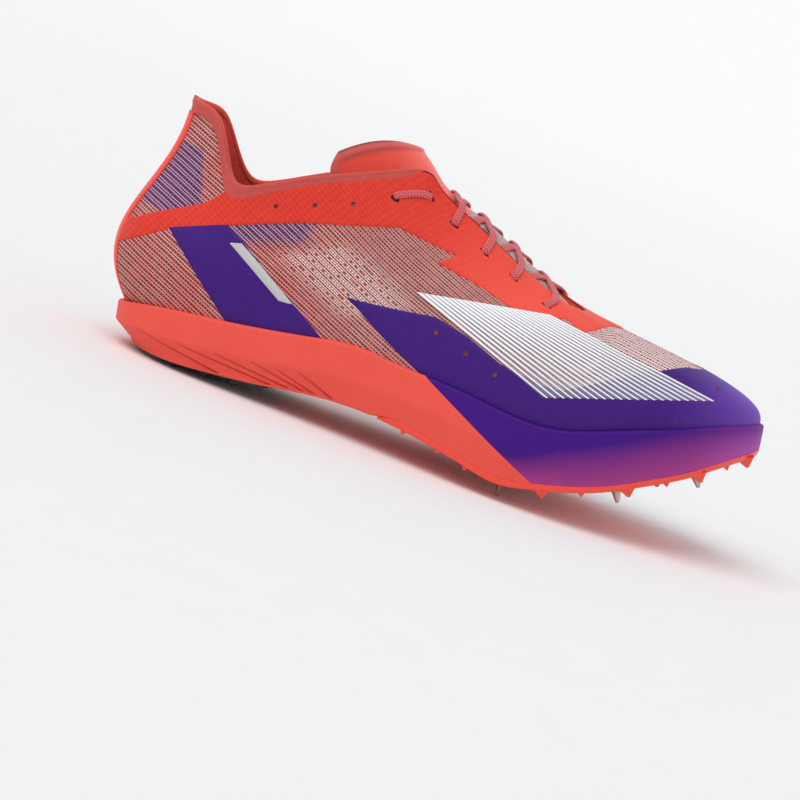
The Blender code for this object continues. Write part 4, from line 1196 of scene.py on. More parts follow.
SADDLE_LOW_EDGE = (
    ("heel", 119, 242), ("band", 170, 229), ("quarter", 228, 225), ("waist", 300, 223), ("rear", 362, 226),
    ("eyestay", 399, 228), ("tip", 456, 256), ("notch", 437, 263), ("front", 481, 287), ("fore", 515, 311),
    ("throat side", 568, 320), ("point", 582, 335), ("vamp", 588, 331), ("crest side", 610, 326),
)
SADDLE_CREST_UP, SADDLE_REAR_TURN = 0.86, 0.494
SADDLE_TOP_EDGE = (("heel", 129, 219), ("wing", 157, 212), ("wing front", 205, 203))
COLLAR_END = ("eyestay corner", 420, 170)
# Width of the collar band along the edge, from the eyestay to the back of the heel.
COLLAR_COLUMNS = ("turn", "width")
COLLAR_ROWS = (
    (0.24, 3.5), (0.30, 3.7), (0.36, 4.0), (0.40, 4.8), (0.425, 6.4), (0.445, 5.6), (0.47, 5.0), (0.50, 5.2),
)
collar_width = cubic(*zip(*COLLAR_ROWS))


def below_edge(turn, depth):
    """Up at a depth in millimetres below the collar edge."""
    reach = cloth(turn, np.ones(np.shape(turn)))[..., 1]
    last = len(map_turns) - 1
    heights = map_up[np.clip((half_turn(turn) * 2 * last).round().astype(int), 0, last)]
    depths = np.broadcast_to(depth, reach.shape)
    return np.array([np.interp(r - d, h, map_ups) for r, d, h in zip(reach, depths, heights)])


seen_grid = np.meshgrid(np.linspace(0.0, 0.5, 361), np.linspace(0, 1, 91), indexing="ij")
seen_turns, seen_ups = (grid.ravel() for grid in seen_grid)
seen_wall = wall(seen_turns, seen_ups)
seen_rays = seen_wall * MM - camera_place
seen_front = np.einsum("ij,ij->i", seen_rays, wall_normal(seen_turns, seen_ups)) < 0


def picture_place(points):
    """Pixels at which points of the shoe are seen."""
    rays = np.asarray(points) * MM - camera_place
    ahead = rays @ camera_ahead
    across = PICTURE_SIDE / 2 + FOCAL_PIXELS * (rays @ camera_right) / ahead
    return np.stack([across, PICTURE_SIDE / 2 - FOCAL_PIXELS * (rays @ camera_up) / ahead], axis=-1)


seen_pixels = np.where(seen_front[:, None], picture_place(seen_wall), 1e6)


def onto_wall(pixels):
    """Turn and up of the places on the outer wall that are seen at pixels."""
    pixels = np.asarray(pixels, dtype=float)
    best = [np.argmin(np.sum((seen_pixels - pixel)**2, axis=1)) for pixel in pixels]
    at = np.column_stack([seen_turns[best], seen_ups[best]])
    e = 1e-4
    for _ in range(8):
        turn, up = at.T
        here = picture_place(wall(turn, up))
        moved = (wall(turn + e, up), wall(turn, up + e))
        slope = np.stack([picture_place(points) - here for points in moved], axis=2) / e
        step = np.einsum("ijk,ik->ij", np.linalg.pinv(slope, rcond=0.05), pixels - here)
        at = np.clip(at + np.clip(step, -0.02, 0.02), (0.0, 0.0), (0.5, 1.0))
    return at


def resample(line, pitch, closed=True):
    """Points along a line at an even pitch, corners kept."""
    line = np.asarray(line, dtype=float)
    ends = np.roll(line, -1, axis=0) if closed else line[1:]
    made = []
    for start, end in zip(line, ends):
        count = max(1, int(math.ceil(np.linalg.norm(end - start) / pitch)))
        made.append(start + (end - start) * np.arange(count)[:, None] / count)
    if not closed:
        made.append(line[-1:])
    return np.vstack(made)


def rows_onto_wall(rows, closed=False):
    """Places on the wall along an outline drawn in the picture; its straight edges stay straight there."""
    return onto_wall(resample([row[1:] for row in rows], OUTLINE_PITCH, closed))


def along_sole(first, last):
    return np.column_stack([np.linspace(first, last, EDGE_STEPS), np.full(EDGE_STEPS, SOLE_UP)])


def inside_outline(points, line):
    """Which points lie inside a closed line, and how far each is from it."""
    ends = np.roll(line, -1, axis=0)
    within = np.zeros(len(points), dtype=bool)
    nearest = np.full(len(points), 1e9)
    for a, b in zip(line, ends):
        crosses = (a[1] > points[:, 1]) != (b[1] > points[:, 1])
        rise = b[1] - a[1] if b[1] != a[1] else 1e-9
        within ^= crosses & (points[:, 0] < (b[0] - a[0]) * (points[:, 1] - a[1]) / rise + a[0])
        run = b - a
        share = np.clip(((points - a) @ run) / max(run @ run, 1e-12), 0, 1)
        nearest = np.minimum(nearest, np.linalg.norm(points - a - share[:, None] * run, axis=1))
    return within, nearest


def film(name, outlines, materials, lift=FILM_LIFT, holes=(), pitch=FILM_PITCH):
    """Closed thin film over the skin inside outlines of turn and up, with holes cut through it."""
    points, faces, maps = [], [], []
    for outline in outlines:
        line = resample(np.asarray(outline) * FILM_PLANE, FILM_LINE_PITCH)
        low, high = line.min(axis=0), line.max(axis=0)
        own_holes = []
        for hole in holes:
            hole = np.asarray(hole) * FILM_PLANE
            if inside_outline(hole[:1], line)[0][0]:
                own_holes.append(hole)
        rings = [line, *own_holes]
        run = np.roll(line, -1, axis=0) - np.roll(line, 1, axis=0)
        run = run / np.maximum(np.linalg.norm(run, axis=1, keepdims=True), 1e-9)
        area = np.sum(line[:, 0] * np.roll(line[:, 1], -1) - np.roll(line[:, 0], -1) * line[:, 1])
        inner = line + np.column_stack([-run[:, 1], run[:, 0]]) * FILM_EDGE * np.sign(area)
        ticks = [np.arange(low[axis], high[axis], pitch) for axis in (0, 1)]
        across, up = np.meshgrid(*ticks, indexing="ij")
        up = up + np.where(np.arange(across.shape[0]) % 2, pitch / 2, 0)[:, None]
        field = np.column_stack([across.ravel(), up.ravel()])
        within, away = inside_outline(field, line)
        field = field[within & (away > FILM_EDGE * 1.9)]
        within, away = inside_outline(inner, line)
        inner = inner[within & (away > FILM_EDGE * 0.7)]
        for hole in own_holes:
            field = field[inside_outline(field, hole)[1] > 0.5]
        all_points = np.vstack([*rings, inner, field])
        edges, first = [], 0
        for ring in rings:
            edges += [(first + i, first + (i + 1) % len(ring)) for i in range(len(ring))]
            first += len(ring)
        verts, _, cells, origin, _, _ = delaunay_2d_cdt([Vector(p) for p in all_points], edges, [], 1, 1e-5)
        flat = np.array([tuple(v) for v in verts])
        centres = np.array([flat[list(cell)].mean(axis=0) for cell in cells])
        keep = inside_outline(centres, line)[0]
        for hole in own_holes:
            keep &= ~inside_outline(centres, hole)[0]
        cells = [cell for cell, kept in zip(cells, keep) if kept]
        rim = np.array([any(i < len(line) for i in source) for source in origin])
        turn, up = (flat / FILM_PLANE).T
        height = np.where(rim, FILM_RIM_SHARE * lift, lift)
        base, count = sum(len(p) for p in points), len(flat)
        points += [skin(turn, up, height), skin(turn, up, -FILM_SUNK)]
        maps += [side_view(points[-2]), side_view(points[-1])]
        sides = dict.fromkeys(pair for cell in cells for pair in zip(cell, cell[1:] + cell[:1]))
        faces += [tuple(base + i for i in cell) for cell in cells]
        faces += [tuple(base + count + i for i in reversed(cell)) for cell in cells]
        open_sides = [(a, b) for a, b in sides if (b, a) not in sides]
        faces += [(base + b, base + a, base + count + a, base + count + b) for a, b in open_sides]
    piece = make_piece(name, np.vstack(points), faces, materials)
    set_cloth_map(piece, np.vstack(maps))
    sharpen(piece, 40.0)
    return piece


def mirrored(lines):
    """Outlines of the outer side brought over to the inner side."""
    return [np.asarray(line) * (-1, 1) for line in lines]


def both_sides(line):
    """An outline on the outer side and its mirror on the inner side."""
    return [np.asarray(line), *mirrored([line])]


def round_toe(line):
    """One outline over the toe from its half on the outer side, which starts and ends at the toe's middle."""
    return [np.vstack([line, mirrored([line])[0][::-1][1:-1]])]


def shift_on_cloth(turn, up, along, rise):
    """Turn and up of a place some millimetres along and up the cloth."""
    e = 1e-3
    here = cloth(turn, up)
    slope = np.stack([(cloth(turn + e, up) - here) / e, (cloth(turn, up + e) - here) / e], axis=1)
    return np.array((turn, up)) + np.linalg.solve(slope, (along, rise))


def squared(value, power):
    """A sine or cosine drawn out toward its ends, for a round turned nearly square."""
    return math.copysign(abs(value)**power, value)


def punched(turn, up, length, width, slant, sides=14):
    """Outline of a round or slotted hole on the outer wall."""
    made = []
    c, s = math.cos(slant), math.sin(slant)
    for k in range(sides):
        angle = math.tau * k / sides
        a, b = squared(math.cos(angle), 0.7) * length / 2, math.sin(angle) * width / 2
        made.append(shift_on_cloth(turn, up, a * c + b * s, -a * s + b * c))
    return np.array(made)


RIB_SLANT = math.radians(30.0)
# Where painted top light falls on a film: the share of it that lies over the top of the foot, by its rise on
# the side view.
TOP_LIGHT = (-14.0, 4.0)


def wave(tree, phase):
    """Sine of a phase, between 0 and 1."""
    return scaled(tree, reckon(tree, "SINE", phase), 0.5, 0.5)


def build_ribs():
    """Shader group: fine pressed diagonal ribs with a dotted break, and a soft cloudiness."""
    sockets = {"Cloth": "Vector", "Pitch": "Float", "Dot": "Float"}
    tree, start, end = new_group("pressed_ribs", sockets, {"Height": "Float", "Cloud": "Float"})
    spot = split(tree, start.outputs["Cloth"])
    c, s = math.cos(RIB_SLANT), math.sin(RIB_SLANT)
    waves = []
    for along, up, pitch in ((s, c, "Pitch"), (c, -s, "Dot")):
        at = weighed(tree, spot[0], along, spot[1], up)
        phase = reckon(tree, "DIVIDE", reckon(tree, "MULTIPLY", at, math.tau), start.outputs[pitch])
        waves.append(wave(tree, phase))
    height = reckon(tree, "MULTIPLY", waves[0], scaled(tree, waves[1], 0.8, 0.2))
    tree.links.new(height, end.inputs["Height"])
    tree.links.new(grain(tree, start.outputs["Cloth"], 0.25, 4.0), end.inputs["Cloud"])
    return tree


rib_group = build_ribs()


def film_finish(name, deep, bright, fore, fore_from, fore_to, pitch, dot, strength, constants):
    """Pressed film with painted top light: lighter toward the front of the shoe, where it lies over more of
    the top and faces the light from above.
    """
    material, tree, shader = new_finish(name, constants)
    ribs = use_group(tree, rib_group, {"Cloth": surface_map(tree), "Pitch": pitch, "Dot": dot})
    spot = split(tree, object_place(tree))
    shade = weighed(tree, ribs["Height"], 0.4, ribs["Cloud"], 0.5)
    # Painted top light: toward the front and over the top of the foot the film is mixed toward its lighter
    # fore tone.
    painted_top_light = reckon(tree, "MULTIPLY", fade(tree, spot[0], fore_from * MM, fore_to * MM), 0.7)
    flat_spot = split(tree, surface_map(tree))
    over_top = reckon(tree, "SUBTRACT", flat_spot[1], reckon(tree, "DIVIDE", spot[2], MM))
    painted_top_light = reckon(tree, "MULTIPLY", painted_top_light, fade(tree, over_top, *TOP_LIGHT))
    set_colour(tree, shader, mix(tree, painted_top_light, mix(tree, shade, deep, bright), fore))
    set_bump(tree, shader, ribs["Height"], strength, 0.0004)
    return material


# Each film's third tone is the painted top light over the front and top of the foot.
violet_film = film_finish(
    "violet_film", tone(52, 13, 104), tone(74, 26, 136), tone(130, 82, 200), 95.0, 140.0, 1.2, 1.0, 0.18,
    {"Roughness": 0.5, "Specular IOR Level": 0.2},
)
coral_film = film_finish(
    "coral_film", tone(204, 40, 24), tone(238, 72, 52), tone(248, 92, 76), -25.0, 45.0, 1.9, 2.6, 0.12,
    {"Roughness": 0.55, "Specular IOR Level": 0.25},
)
reflector, tree, shader = new_finish("reflective_film", {"Roughness": 0.5, "Specular IOR Level": 0.3})
beads = place_node(tree, "TexVoronoi", {"Vector": surface_map(tree), "Scale": 3.2}).outputs["Distance"]
set_colour(tree, shader, mix(tree, beads, tone(200, 200, 198), tone(184, 185, 183)))
set_bump(tree, shader, beads, 0.12, 0.0003)

SADDLE_HOLES = (("rear hole", 276, 206), ("middle hole", 315, 205), ("front hole", 353, 204))
FOREFOOT_HOLES = (
    ("rear hole", 436, 333), ("middle hole", 466, 354), ("front hole", 495, 375), ("toe hole", 717, 389),
)
HOLE_WIDTH = 2.0
# Lace holes: share of the way round and up the wall; slots in the film slant down toward the toe.
EYELET_COLUMNS = ("name", "turn", "up")
EYELETS = (
    ("eyelet 1", 0.151, 0.824), ("eyelet 2", 0.188, 0.868), ("eyelet 3", 0.2265, 0.884),
    ("eyelet 4", 0.257, 0.898), ("eyelet 5", 0.2868, 0.914), ("eyelet 6", 0.3213, 0.832),
)
SLOT_LENGTH, SLOT_WIDTH, SLOT_DROP = 4.9, 2.1, 0.7
SLOT_SLANTS = np.radians((14.0, 14.0, 14.0, 14.0, 27.0, 27.0))

saddle_hole_places = onto_wall([row[1:] for row in SADDLE_HOLES])
forefoot_hole_places = onto_wall([row[1:] for row in FOREFOOT_HOLES])
saddle_holes = [punched(*at, HOLE_WIDTH, HOLE_WIDTH, 0.0) for at in saddle_hole_places]
forefoot_holes = [punched(*at, HOLE_WIDTH, HOLE_WIDTH, 0.0) for at in forefoot_hole_places]
slot_places = [shift_on_cloth(turn, up, 0.0, -SLOT_DROP) for _, turn, up in EYELETS]
slots = [punched(*at, SLOT_LENGTH, SLOT_WIDTH, slant) for at, slant in zip(slot_places, SLOT_SLANTS)]

edge = rows_onto_wall(FOREFOOT_EDGE)
forefoot_outline = np.vstack([along_sole(0.0, edge[0, 0]), edge[1:], [(0.0, FOREFOOT_CREST_UP)]])
all_holes = forefoot_holes + mirrored(forefoot_holes)
forefoot = film("forefoot_film", round_toe(forefoot_outline), [violet_film], holes=all_holes)
fit(forefoot, "upper")

edge = rows_onto_wall(HEEL_BAND_EDGE)
heel_band_outline = np.vstack([edge[1:-1], along_sole(edge[-1, 0], edge[0, 0])])
heel_band = film("heel_band_film", both_sides(heel_band_outline), [violet_film])
fit(heel_band, "upper")
flash_outline = rows_onto_wall(REFLECTOR_EDGE, True)
flash = film("reflective_flash", both_sides(flash_outline), [reflector], FILM_LIFT + FLASH_OVER)
fit(flash, "upper")

top = rows_onto_wall(SADDLE_TOP_EDGE)
low = rows_onto_wall(SADDLE_LOW_EDGE)
collar_end_turn = float(onto_wall([COLLAR_END[1:]])[0, 0])
collar_turns = np.linspace(top[-1, 0] - 0.012, collar_end_turn + 0.012, EDGE_STEPS)
under_collar = collar_width(collar_turns)[:, 0] - COLLAR_OVERLAP
along_collar = np.column_stack([collar_turns, below_edge(collar_turns, under_collar)])
throat_turns = np.linspace(collar_end_turn + 0.003, 0.0, EDGE_STEPS)
along_throat = np.column_stack([throat_turns, np.full(EDGE_STEPS, RIM_UP)])
top[0, 0] = low[0, 0] = SADDLE_REAR_TURN
saddle_outline = np.vstack([[(0.0, SADDLE_CREST_UP)], low[::-1], top, along_collar, along_throat])
all_holes = saddle_holes + slots + mirrored(saddle_holes + slots)
saddle = film("saddle_film", round_toe(saddle_outline), [coral_film], FILM_LIFT + SADDLE_OVER, all_holes)
fit(saddle, "upper")

# Pinstripes: a field of fine white printed stripes over a thin frosted film, slanted across the forefoot.
# Each stripe is wide at its top end and runs out thin toward the sole.
STRIPE_COUNT = 21
STRIPE_LIFT = 0.78
STRIPE_STEPS = 44
FROST_OVER = 0.22
STRIPE_FIELD = (
    ("top rear", 416, 292), ("top front", 550, 316), ("low front", 716, 402), ("low rear", 543, 398),
)
STRIPE_WIDE, STRIPE_FINE = 0.80, 0.24
corner = {name: np.array((across, down), dtype=float) for name, across, down in STRIPE_FIELD}
frost_look = {"Roughness": 0.5, "Alpha": 0.3}
frost = speckled("frosted_film", frost_look, tone(190, 186, 200), tone(206, 202, 214), 500.0)
white_ink = speckled(
    "white_ink", {"Roughness": 0.5}, tone(236, 236, 240), tone(250, 250, 252), 900.0, 4.0,
    bump=(0.12, 0.0002),
)
field_outline = rows_onto_wall(STRIPE_FIELD, True)
frost_field = film("frosted_field", both_sides(field_outline), [frost], FILM_LIFT + FROST_OVER)
fit(frost_field, "upper")


def on_field(share, down):
    """Pixel at a share of the way along the stripe field and down it."""
    head = corner["top rear"] + (corner["top front"] - corner["top rear"]) * share
    foot = corner["low rear"] + (corner["low front"] - corner["low rear"]) * share
    return head + (foot - head) * down


def bar_faces(ring, steps, base=0):
    """Faces of a bar from lines of equal steps, joined in the order of the ring and closed at both ends."""
    ring = tuple(ring)
    faces = []
    for i in range(steps - 1):
        for a, b in zip(ring, ring[1:] + ring[:1]):
            faces.append(tuple(base + r * steps + c for r, c in ((a, i), (b, i), (b, i + 1), (a, i + 1))))
    for i in (0, steps - 1):
        faces.append(tuple(base + r * steps + i for r in ring))
    return faces


stripe_points, stripe_faces = [], []
for k in range(STRIPE_COUNT):
    steps = np.linspace(0, 1, STRIPE_STEPS)[:, None]
    half = 0.5 / STRIPE_COUNT * (STRIPE_WIDE + (STRIPE_FINE - STRIPE_WIDE) * steps**0.8)
    share = (k + 0.5) / STRIPE_COUNT
    places = [onto_wall(on_field(share + side * half, steps)) for side in (-1.0, 0.0, 1.0)]
    for mirror in (1, -1):
        base = sum(len(p) for p in stripe_points)
        for lift in (STRIPE_LIFT, FILM_LIFT):
            for place in places:
                stripe_points.append(skin(place[:, 0] * mirror, place[:, 1], lift))
        stripe_faces += bar_faces((0, 1, 2, 5, 4, 3), STRIPE_STEPS, base)
stripes = make_piece("pinstripes", np.vstack(stripe_points), stripe_faces, [white_ink])
sharpen(stripes, 40.0)
fit(stripes, "upper")

# Collar band: soft brushed microfibre, folded over a foam lip along the collar from eyestay to eyestay
# and bonded down outside and inside.
COLLAR_STEPS = 300
COLLAR_INSIDE = 2.6
# The ends of the band: steps over which it thickens and widens, and the share that it starts from; then the
# reach of the tab's point.
THICKEN_STEPS, THIN_END, WIDEN_STEPS, NARROW_END = 6.0, 0.75, 14.0, 0.45
TAB_POINT_REACH = 0.010
# Section of the band: share of its width below the edge, height over the skin; over the rim: height above the
# edge, height over the skin, how much higher at the point of the tab; then inside the collar.
COLLAR_OUTSIDE = (
    (1.05, -0.1), (1.03, 0.35), (0.97, 0.55), (0.80, 0.62), (0.55, 0.66), (0.36, 0.72), (0.22, 0.95),
    (0.10, 0.90),
)
COLLAR_RIM = ((0.15, 0.6, 1.5), (0.40, 0.0, 1.1), (0.48, -0.9, 0.5), (0.35, -1.7, 0.2))
COLLAR_INNER = ((0.12, -2.1), (0.45, -2.25), (0.85, -2.15), (1.0, -1.6))
band_turns = np.linspace(collar_end_turn - 0.003, 1 - collar_end_turn + 0.003, COLLAR_STEPS)
band_wide = collar_width(half_turn(band_turns))[:, 0]
from_end = np.minimum(np.arange(COLLAR_STEPS), np.arange(COLLAR_STEPS)[::-1])
end_taper = np.clip(from_end / THICKEN_STEPS, THIN_END, 1.0)
widening = np.sin(np.clip(from_end / WIDEN_STEPS, 0, 1) * math.pi / 2)
band_wide = band_wide * (NARROW_END + (1 - NARROW_END) * widening)
band_rows, band_maps = [], []
above_edge = unit(skin(band_turns, 1.0) - skin(band_turns, 0.985))
edge_along = cloth(band_turns, np.ones(COLLAR_STEPS))[:, 0]
tab_point = np.exp(-((band_turns - 0.5) / TAB_POINT_REACH)**2)
girth = 0.0
for group, rows in (("out", COLLAR_OUTSIDE), ("rim", COLLAR_RIM), ("in", COLLAR_INNER)):
    for first, lift, *point in rows:
        lift = np.where(np.full(COLLAR_STEPS, lift) > 0, lift * end_taper, lift)
        if group == "rim":
            line = skin(band_turns, 1.0, lift) + above_edge * (first + point[0] * tab_point)[:, None]
        else:
            depth = first * (band_wide if group == "out" else COLLAR_INSIDE)
            line = skin(band_turns, below_edge(band_turns, depth), lift)
        if band_rows:
            girth = girth + np.linalg.norm(line - band_rows[-1], axis=1)
        band_rows.append(line)
        band_maps.append(np.column_stack([edge_along, np.broadcast_to(girth, COLLAR_STEPS)]))
ring_size = len(band_rows)
band_faces = bar_faces(range(ring_size), COLLAR_STEPS)
brushed_look = {"Roughness": 0.95, "Sheen Weight": 0.12, "Sheen Roughness": 0.4}
microfibre, tree, shader = new_finish("brushed_microfibre", brushed_look)
place = object_place(tree)
nap = grain(tree, place, 1500.0, 5.0)
cloudy = grain(tree, place, 220.0, 3.0)
shade = weighed(tree, nap, 0.6, cloudy, 0.4)
set_colour(tree, shader, mix(tree, shade, tone(176, 58, 54), tone(214, 92, 84)))
set_bump(tree, shader, nap, 0.4, 0.0004)
collar = make_piece("collar_band", np.vstack(band_rows), band_faces, [microfibre, lining])
ringed = np.arange(len(band_faces)) % ring_size
turned_in = (ringed > len(COLLAR_OUTSIDE) + 1) & (np.arange(len(band_faces)) < len(band_faces) - 2)
collar.data.polygons.foreach_set("material_index", turned_in.astype(np.int32))
set_cloth_map(collar, np.vstack(band_maps))
fit(collar, "upper")

# Heel tape: a narrow welded strip of glossy coral film down the back seam, standing proud of the knit;
# its top end stops a little short of the collar tab.
TAPE_STEPS = 120
TAPE_FROM, TAPE_TO = -0.004, 0.955
TAPE_FULL_UP, TAPE_THIN = 0.30, 0.4
TAPE_HALF_TURN = 0.0118
# Section of the tape: share of its half width, height over the skin.
TAPE_SECTION = (
    (-1.0, -0.1), (-1.0, 0.5), (-0.92, 0.9), (-0.6, 1.35), (0.0, 1.55), (0.6, 1.35), (0.92, 0.9), (1.0, 0.5),
    (1.0, -0.1), (0.0, -0.1),
)
tape_ups = np.linspace(TAPE_FROM, TAPE_TO, TAPE_STEPS)
tape_grown = np.sin(np.clip(tape_ups / TAPE_FULL_UP, 0, 1) * math.pi / 2)
tape_thick = TAPE_THIN + (1 - TAPE_THIN) * tape_grown
tape_rows = []
for share, lift in TAPE_SECTION:
    tape_rows.append(skin(0.5 + TAPE_HALF_TURN * share, tape_ups, lift * tape_thick))
tape_faces = bar_faces(range(len(TAPE_SECTION)), TAPE_STEPS)
tape_film = speckled(
    "tape_film", {"Roughness": 0.45, "Coat Weight": 0.15, "Coat Roughness": 0.3},
    tone(246, 76, 54), tone(236, 66, 48), 1200.0, 3.0, bump=(0.15, 0.0003),
)
tape = make_piece("heel_tape_strip", np.vstack(tape_rows), tape_faces, [tape_film])
sharpen(tape, 50.0)
fit(tape, "plate", "heel_tape")

# Tongue: a thin padded strip, sewn in at the front of the throat. Sheer knit under the laces, a coral film
# at the top, and a soft brushed border.
TONGUE_THICKNESS = 2.6
TONGUE_CORNER, TONGUE_TILT = 0.05, 1.2
TONGUE_ALONG_STEPS, TONGUE_ACROSS_STEPS = 130, 60
TONGUE_FILM_FROM = 0.525
# Where the pad thins out at its sides and its end, and where the border swells there: start or middle, then
# reach; then the height of the border.
TONGUE_SIDE_ROUND, TONGUE_END_ROUND = (0.93, 0.07), (0.965, 0.035)
BORDER_SIDE, BORDER_END, BORDER_START = (0.972, 0.016), (0.955, 0.022), (0.45, 0.1)
BORDER_HEIGHT = 0.55
TONGUE_COLUMNS = ("name", "x", "z", "half_width", "side_x", "side_z")
TONGUE_ROWS = (
    ("root", 62.0, 75.0, 12.0, 0.0, -5.0),
    ("throat front", 46.0, 80.8, 16.0, 0.0, -9.0),
    ("throat", 24.0, 91.5, 19.5, -2.0, -11.5),
    ("throat top", 0.0, 101.5, 21.0, -8.0, -14.0),
    ("instep", -16.0, 107.4, 22.0, -24.0, -19.0),
    ("collar", -26.0, 115.0, 22.5, -35.0, -18.0),
    ("top", -35.0, 121.0, 22.0, -24.5, -9.6),
)
tongue_curve = cubic(np.linspace(0, 1, len(TONGUE_ROWS)), [row[1:] for row in TONGUE_ROWS])


def tongue_face(along, across):
    """Upper face of the tongue: along is 0 at the root and 1 at the top; across runs from -1 to 1."""
    row = tongue_curve(along * (1 - TONGUE_CORNER * np.abs(across)**6))
    x = row[..., 0] + row[..., 3] * np.abs(across)**2
    z = row[..., 1] + row[..., 4] * np.abs(across)**3 - TONGUE_TILT * along**10 * across
    return np.stack([x, row[..., 2] * across, z], axis=-1)


def tongue_height(x, y):
    """Height of the tongue's upper face over a place in plan."""
    along = np.linspace(0, 1, 400)
    face = tongue_face(along, np.clip(y / tongue_curve(along)[:, 2], -1, 1))
    return float(np.interp(-x, -face[:, 0], face[:, 2]))


rim_cos = np.cos(np.linspace(math.pi, 0, TONGUE_ACROSS_STEPS))
tongue_across = np.sign(rim_cos) * np.abs(rim_cos)**0.8
tongue_along = np.sin(np.linspace(0, math.pi / 2, TONGUE_ALONG_STEPS))**0.9
along_grid, across_grid = np.meshgrid(tongue_along, tongue_across, indexing="ij")
face = tongue_face(along_grid, across_grid)
e = 1e-3
right, left = (tongue_face(along_grid, np.clip(across_grid + side, -1, 1)) for side in (e, -e))
after, before = (tongue_face(np.clip(along_grid + side, 0, 1), across_grid) for side in (e, -e))
face_normal = unit(np.cross(right - left, after - before))
face_normal = face_normal * np.sign(np.median(face_normal[..., 2]))


def past(value, start, reach):
    """How far a value is past a start, as a share of the reach."""
    return (value - start) / reach


off_middle = np.abs(across_grid)
edge_share = np.maximum(past(off_middle, *TONGUE_SIDE_ROUND), past(along_grid, *TONGUE_END_ROUND))
edge_share = np.clip(edge_share, 0, 1)
body_share = np.sqrt(np.clip(1 - edge_share**2, 0, 1))
border = np.exp(-np.minimum(past(off_middle, *BORDER_SIDE)**2, past(along_grid, *BORDER_END)**2))
border = border * np.clip(past(along_grid, *BORDER_START), 0, 1)
middle_face = face - face_normal * TONGUE_THICKNESS / 2
half_thick = (TONGUE_THICKNESS / 2 * body_share)[..., None]
tongue_top = middle_face + face_normal * (half_thick + (BORDER_HEIGHT * border * body_share)[..., None])
tongue_low = middle_face - face_normal * half_thick
rows, columns = along_grid.shape
tongue_points = np.vstack([tongue_top.reshape(-1, 3), tongue_low.reshape(-1, 3)])
tongue_faces = []
for i in range(rows - 1):
    for j in range(columns - 1):
        a = i * columns + j
        quad = (a, a + 1, a + columns + 1, a + columns)
        tongue_faces += [quad, tuple(rows * columns + k for k in reversed(quad))]
for j in range(columns - 1):
    tongue_faces.append((j, j + 1, rows * columns + j + 1, rows * columns + j))
tongue_cloth = np.column_stack([along_grid.ravel(), across_grid.ravel()])
tongue_finish, tree, shader = new_finish("tongue_cloth", {"Roughness": 0.75, "Sheen Weight": 0.3})
along, from_middle = split(tree, surface_map(tree))[:2]
place = object_place(tree)
tongue_spot = split(tree, place)
flat_along = reckon(tree, "MULTIPLY", reckon(tree, "SUBTRACT", tongue_spot[0], tongue_spot[2]), 700.0)
flat_across = reckon(tree, "MULTIPLY", tongue_spot[1], 1000.0)
flat_place = place_node(tree, "CombineXYZ", {0: flat_along, 1: flat_across}).outputs[0]
tongue_knit = use_group(tree, knit_group, {
    "Cloth": flat_place, "Thread": tone(222, 208, 200), "Band": tone(184, 146, 138),
    "Gap": tone(60, 42, 42), "Flecks": 0.0,
})
tongue_ribs = use_group(tree, rib_group, {"Cloth": flat_place, "Pitch": 1.9, "Dot": 2.6})
nap = grain(tree, place, 1500.0, 5.0)
from_middle = reckon(tree, "ABSOLUTE", from_middle)
# Painted highlight: the film and the border are mixed toward pale pink along the crest of the tongue, away
# from its sides.
painted_crest_highlight = reckon(tree, "MULTIPLY", fade(tree, from_middle, 0.75, 0.10), 0.8)
film_shade = mix(tree, tongue_ribs["Cloud"], tone(226, 58, 40), tone(244, 82, 62))
film_shade = mix(tree, painted_crest_highlight, film_shade, tone(250, 118, 106))
brushed = mix(tree, nap, tone(186, 62, 58), tone(220, 96, 88))
brushed = mix(tree, painted_crest_highlight, brushed, tone(236, 112, 104))
# Painted shade: the border darkens along the very top end of the tongue, over its rounded edge.
brushed = mix(tree, fade(tree, along, 0.984, 0.994), brushed, tone(150, 50, 48))
on_film = fade(tree, along, TONGUE_FILM_FROM - 0.004, TONGUE_FILM_FROM + 0.004)
on_border = reckon(tree, "MAXIMUM", fade(tree, from_middle, 0.950, 0.958), fade(tree, along, 0.921, 0.927))
on_border = reckon(tree, "MULTIPLY", on_border, on_film)
inner_shade = mix(tree, on_film, tongue_knit["Color"], film_shade)
set_colour(tree, shader, mix(tree, on_border, inner_shade, brushed))
weave_height = reckon(tree, "MULTIPLY", tongue_knit["Height"], reckon(tree, "SUBTRACT", 1.0, on_film))
set_bump(tree, shader, scaled(tree, nap, 0.4, weave_height), 0.3, 0.0004)
tongue = make_piece("tongue_pad", tongue_points, tongue_faces, [tongue_finish], turn_out=False)
set_cloth_map(tongue, np.vstack([tongue_cloth, tongue_cloth]))
body = bmesh.new()
body.from_mesh(tongue.data)
bmesh.ops.remove_doubles(body, verts=body.verts, dist=1e-6)
bmesh.ops.recalc_face_normals(body, faces=body.faces)
body.to_mesh(tongue.data)
body.free()
fit(tongue, "tongue", "tongue")

# Slots: each lace hole cut through the saddle film is filled with a dark patch, painted shade standing in for
# the shadow inside the hole.
SLOT_LIFT, SLOT_PITCH = 0.12, 0.8
painted_slot_shade = speckled("painted_slot_shade", {"Roughness": 0.9}, tone(46, 16, 16), tone(74, 26, 24), 1500.0)
slot_outlines = [line for slot in slots for line in both_sides(slot)]
slot_patches = film("lace_slots", slot_outlines, [painted_slot_shade], SLOT_LIFT, pitch=SLOT_PITCH)
fit(slot_patches, "lace")

# Laces: one flat woven lace, drawn out of each slot, over the eyestay, across the tongue and under the other
# eyestay to the next slot; a lock loop lies between the two top slots, where its ends are tucked inside.
LACE_WIDTH, LOOP_WIDTH, LACE_THICKNESS, LACE_LIFT, TUCK_AHEAD = 3.4, 3.0, 1.25, 1.4, 5.0
LOOP_DROOP, LOOP_ARCH = 0.026, -0.005
LACE_SIDES, LACE_STEPS = 16, 90
LACE_TWILL, LACE_CORD = 1.25, 1.15
lace_points, lace_faces, lace_maps = [], [], []


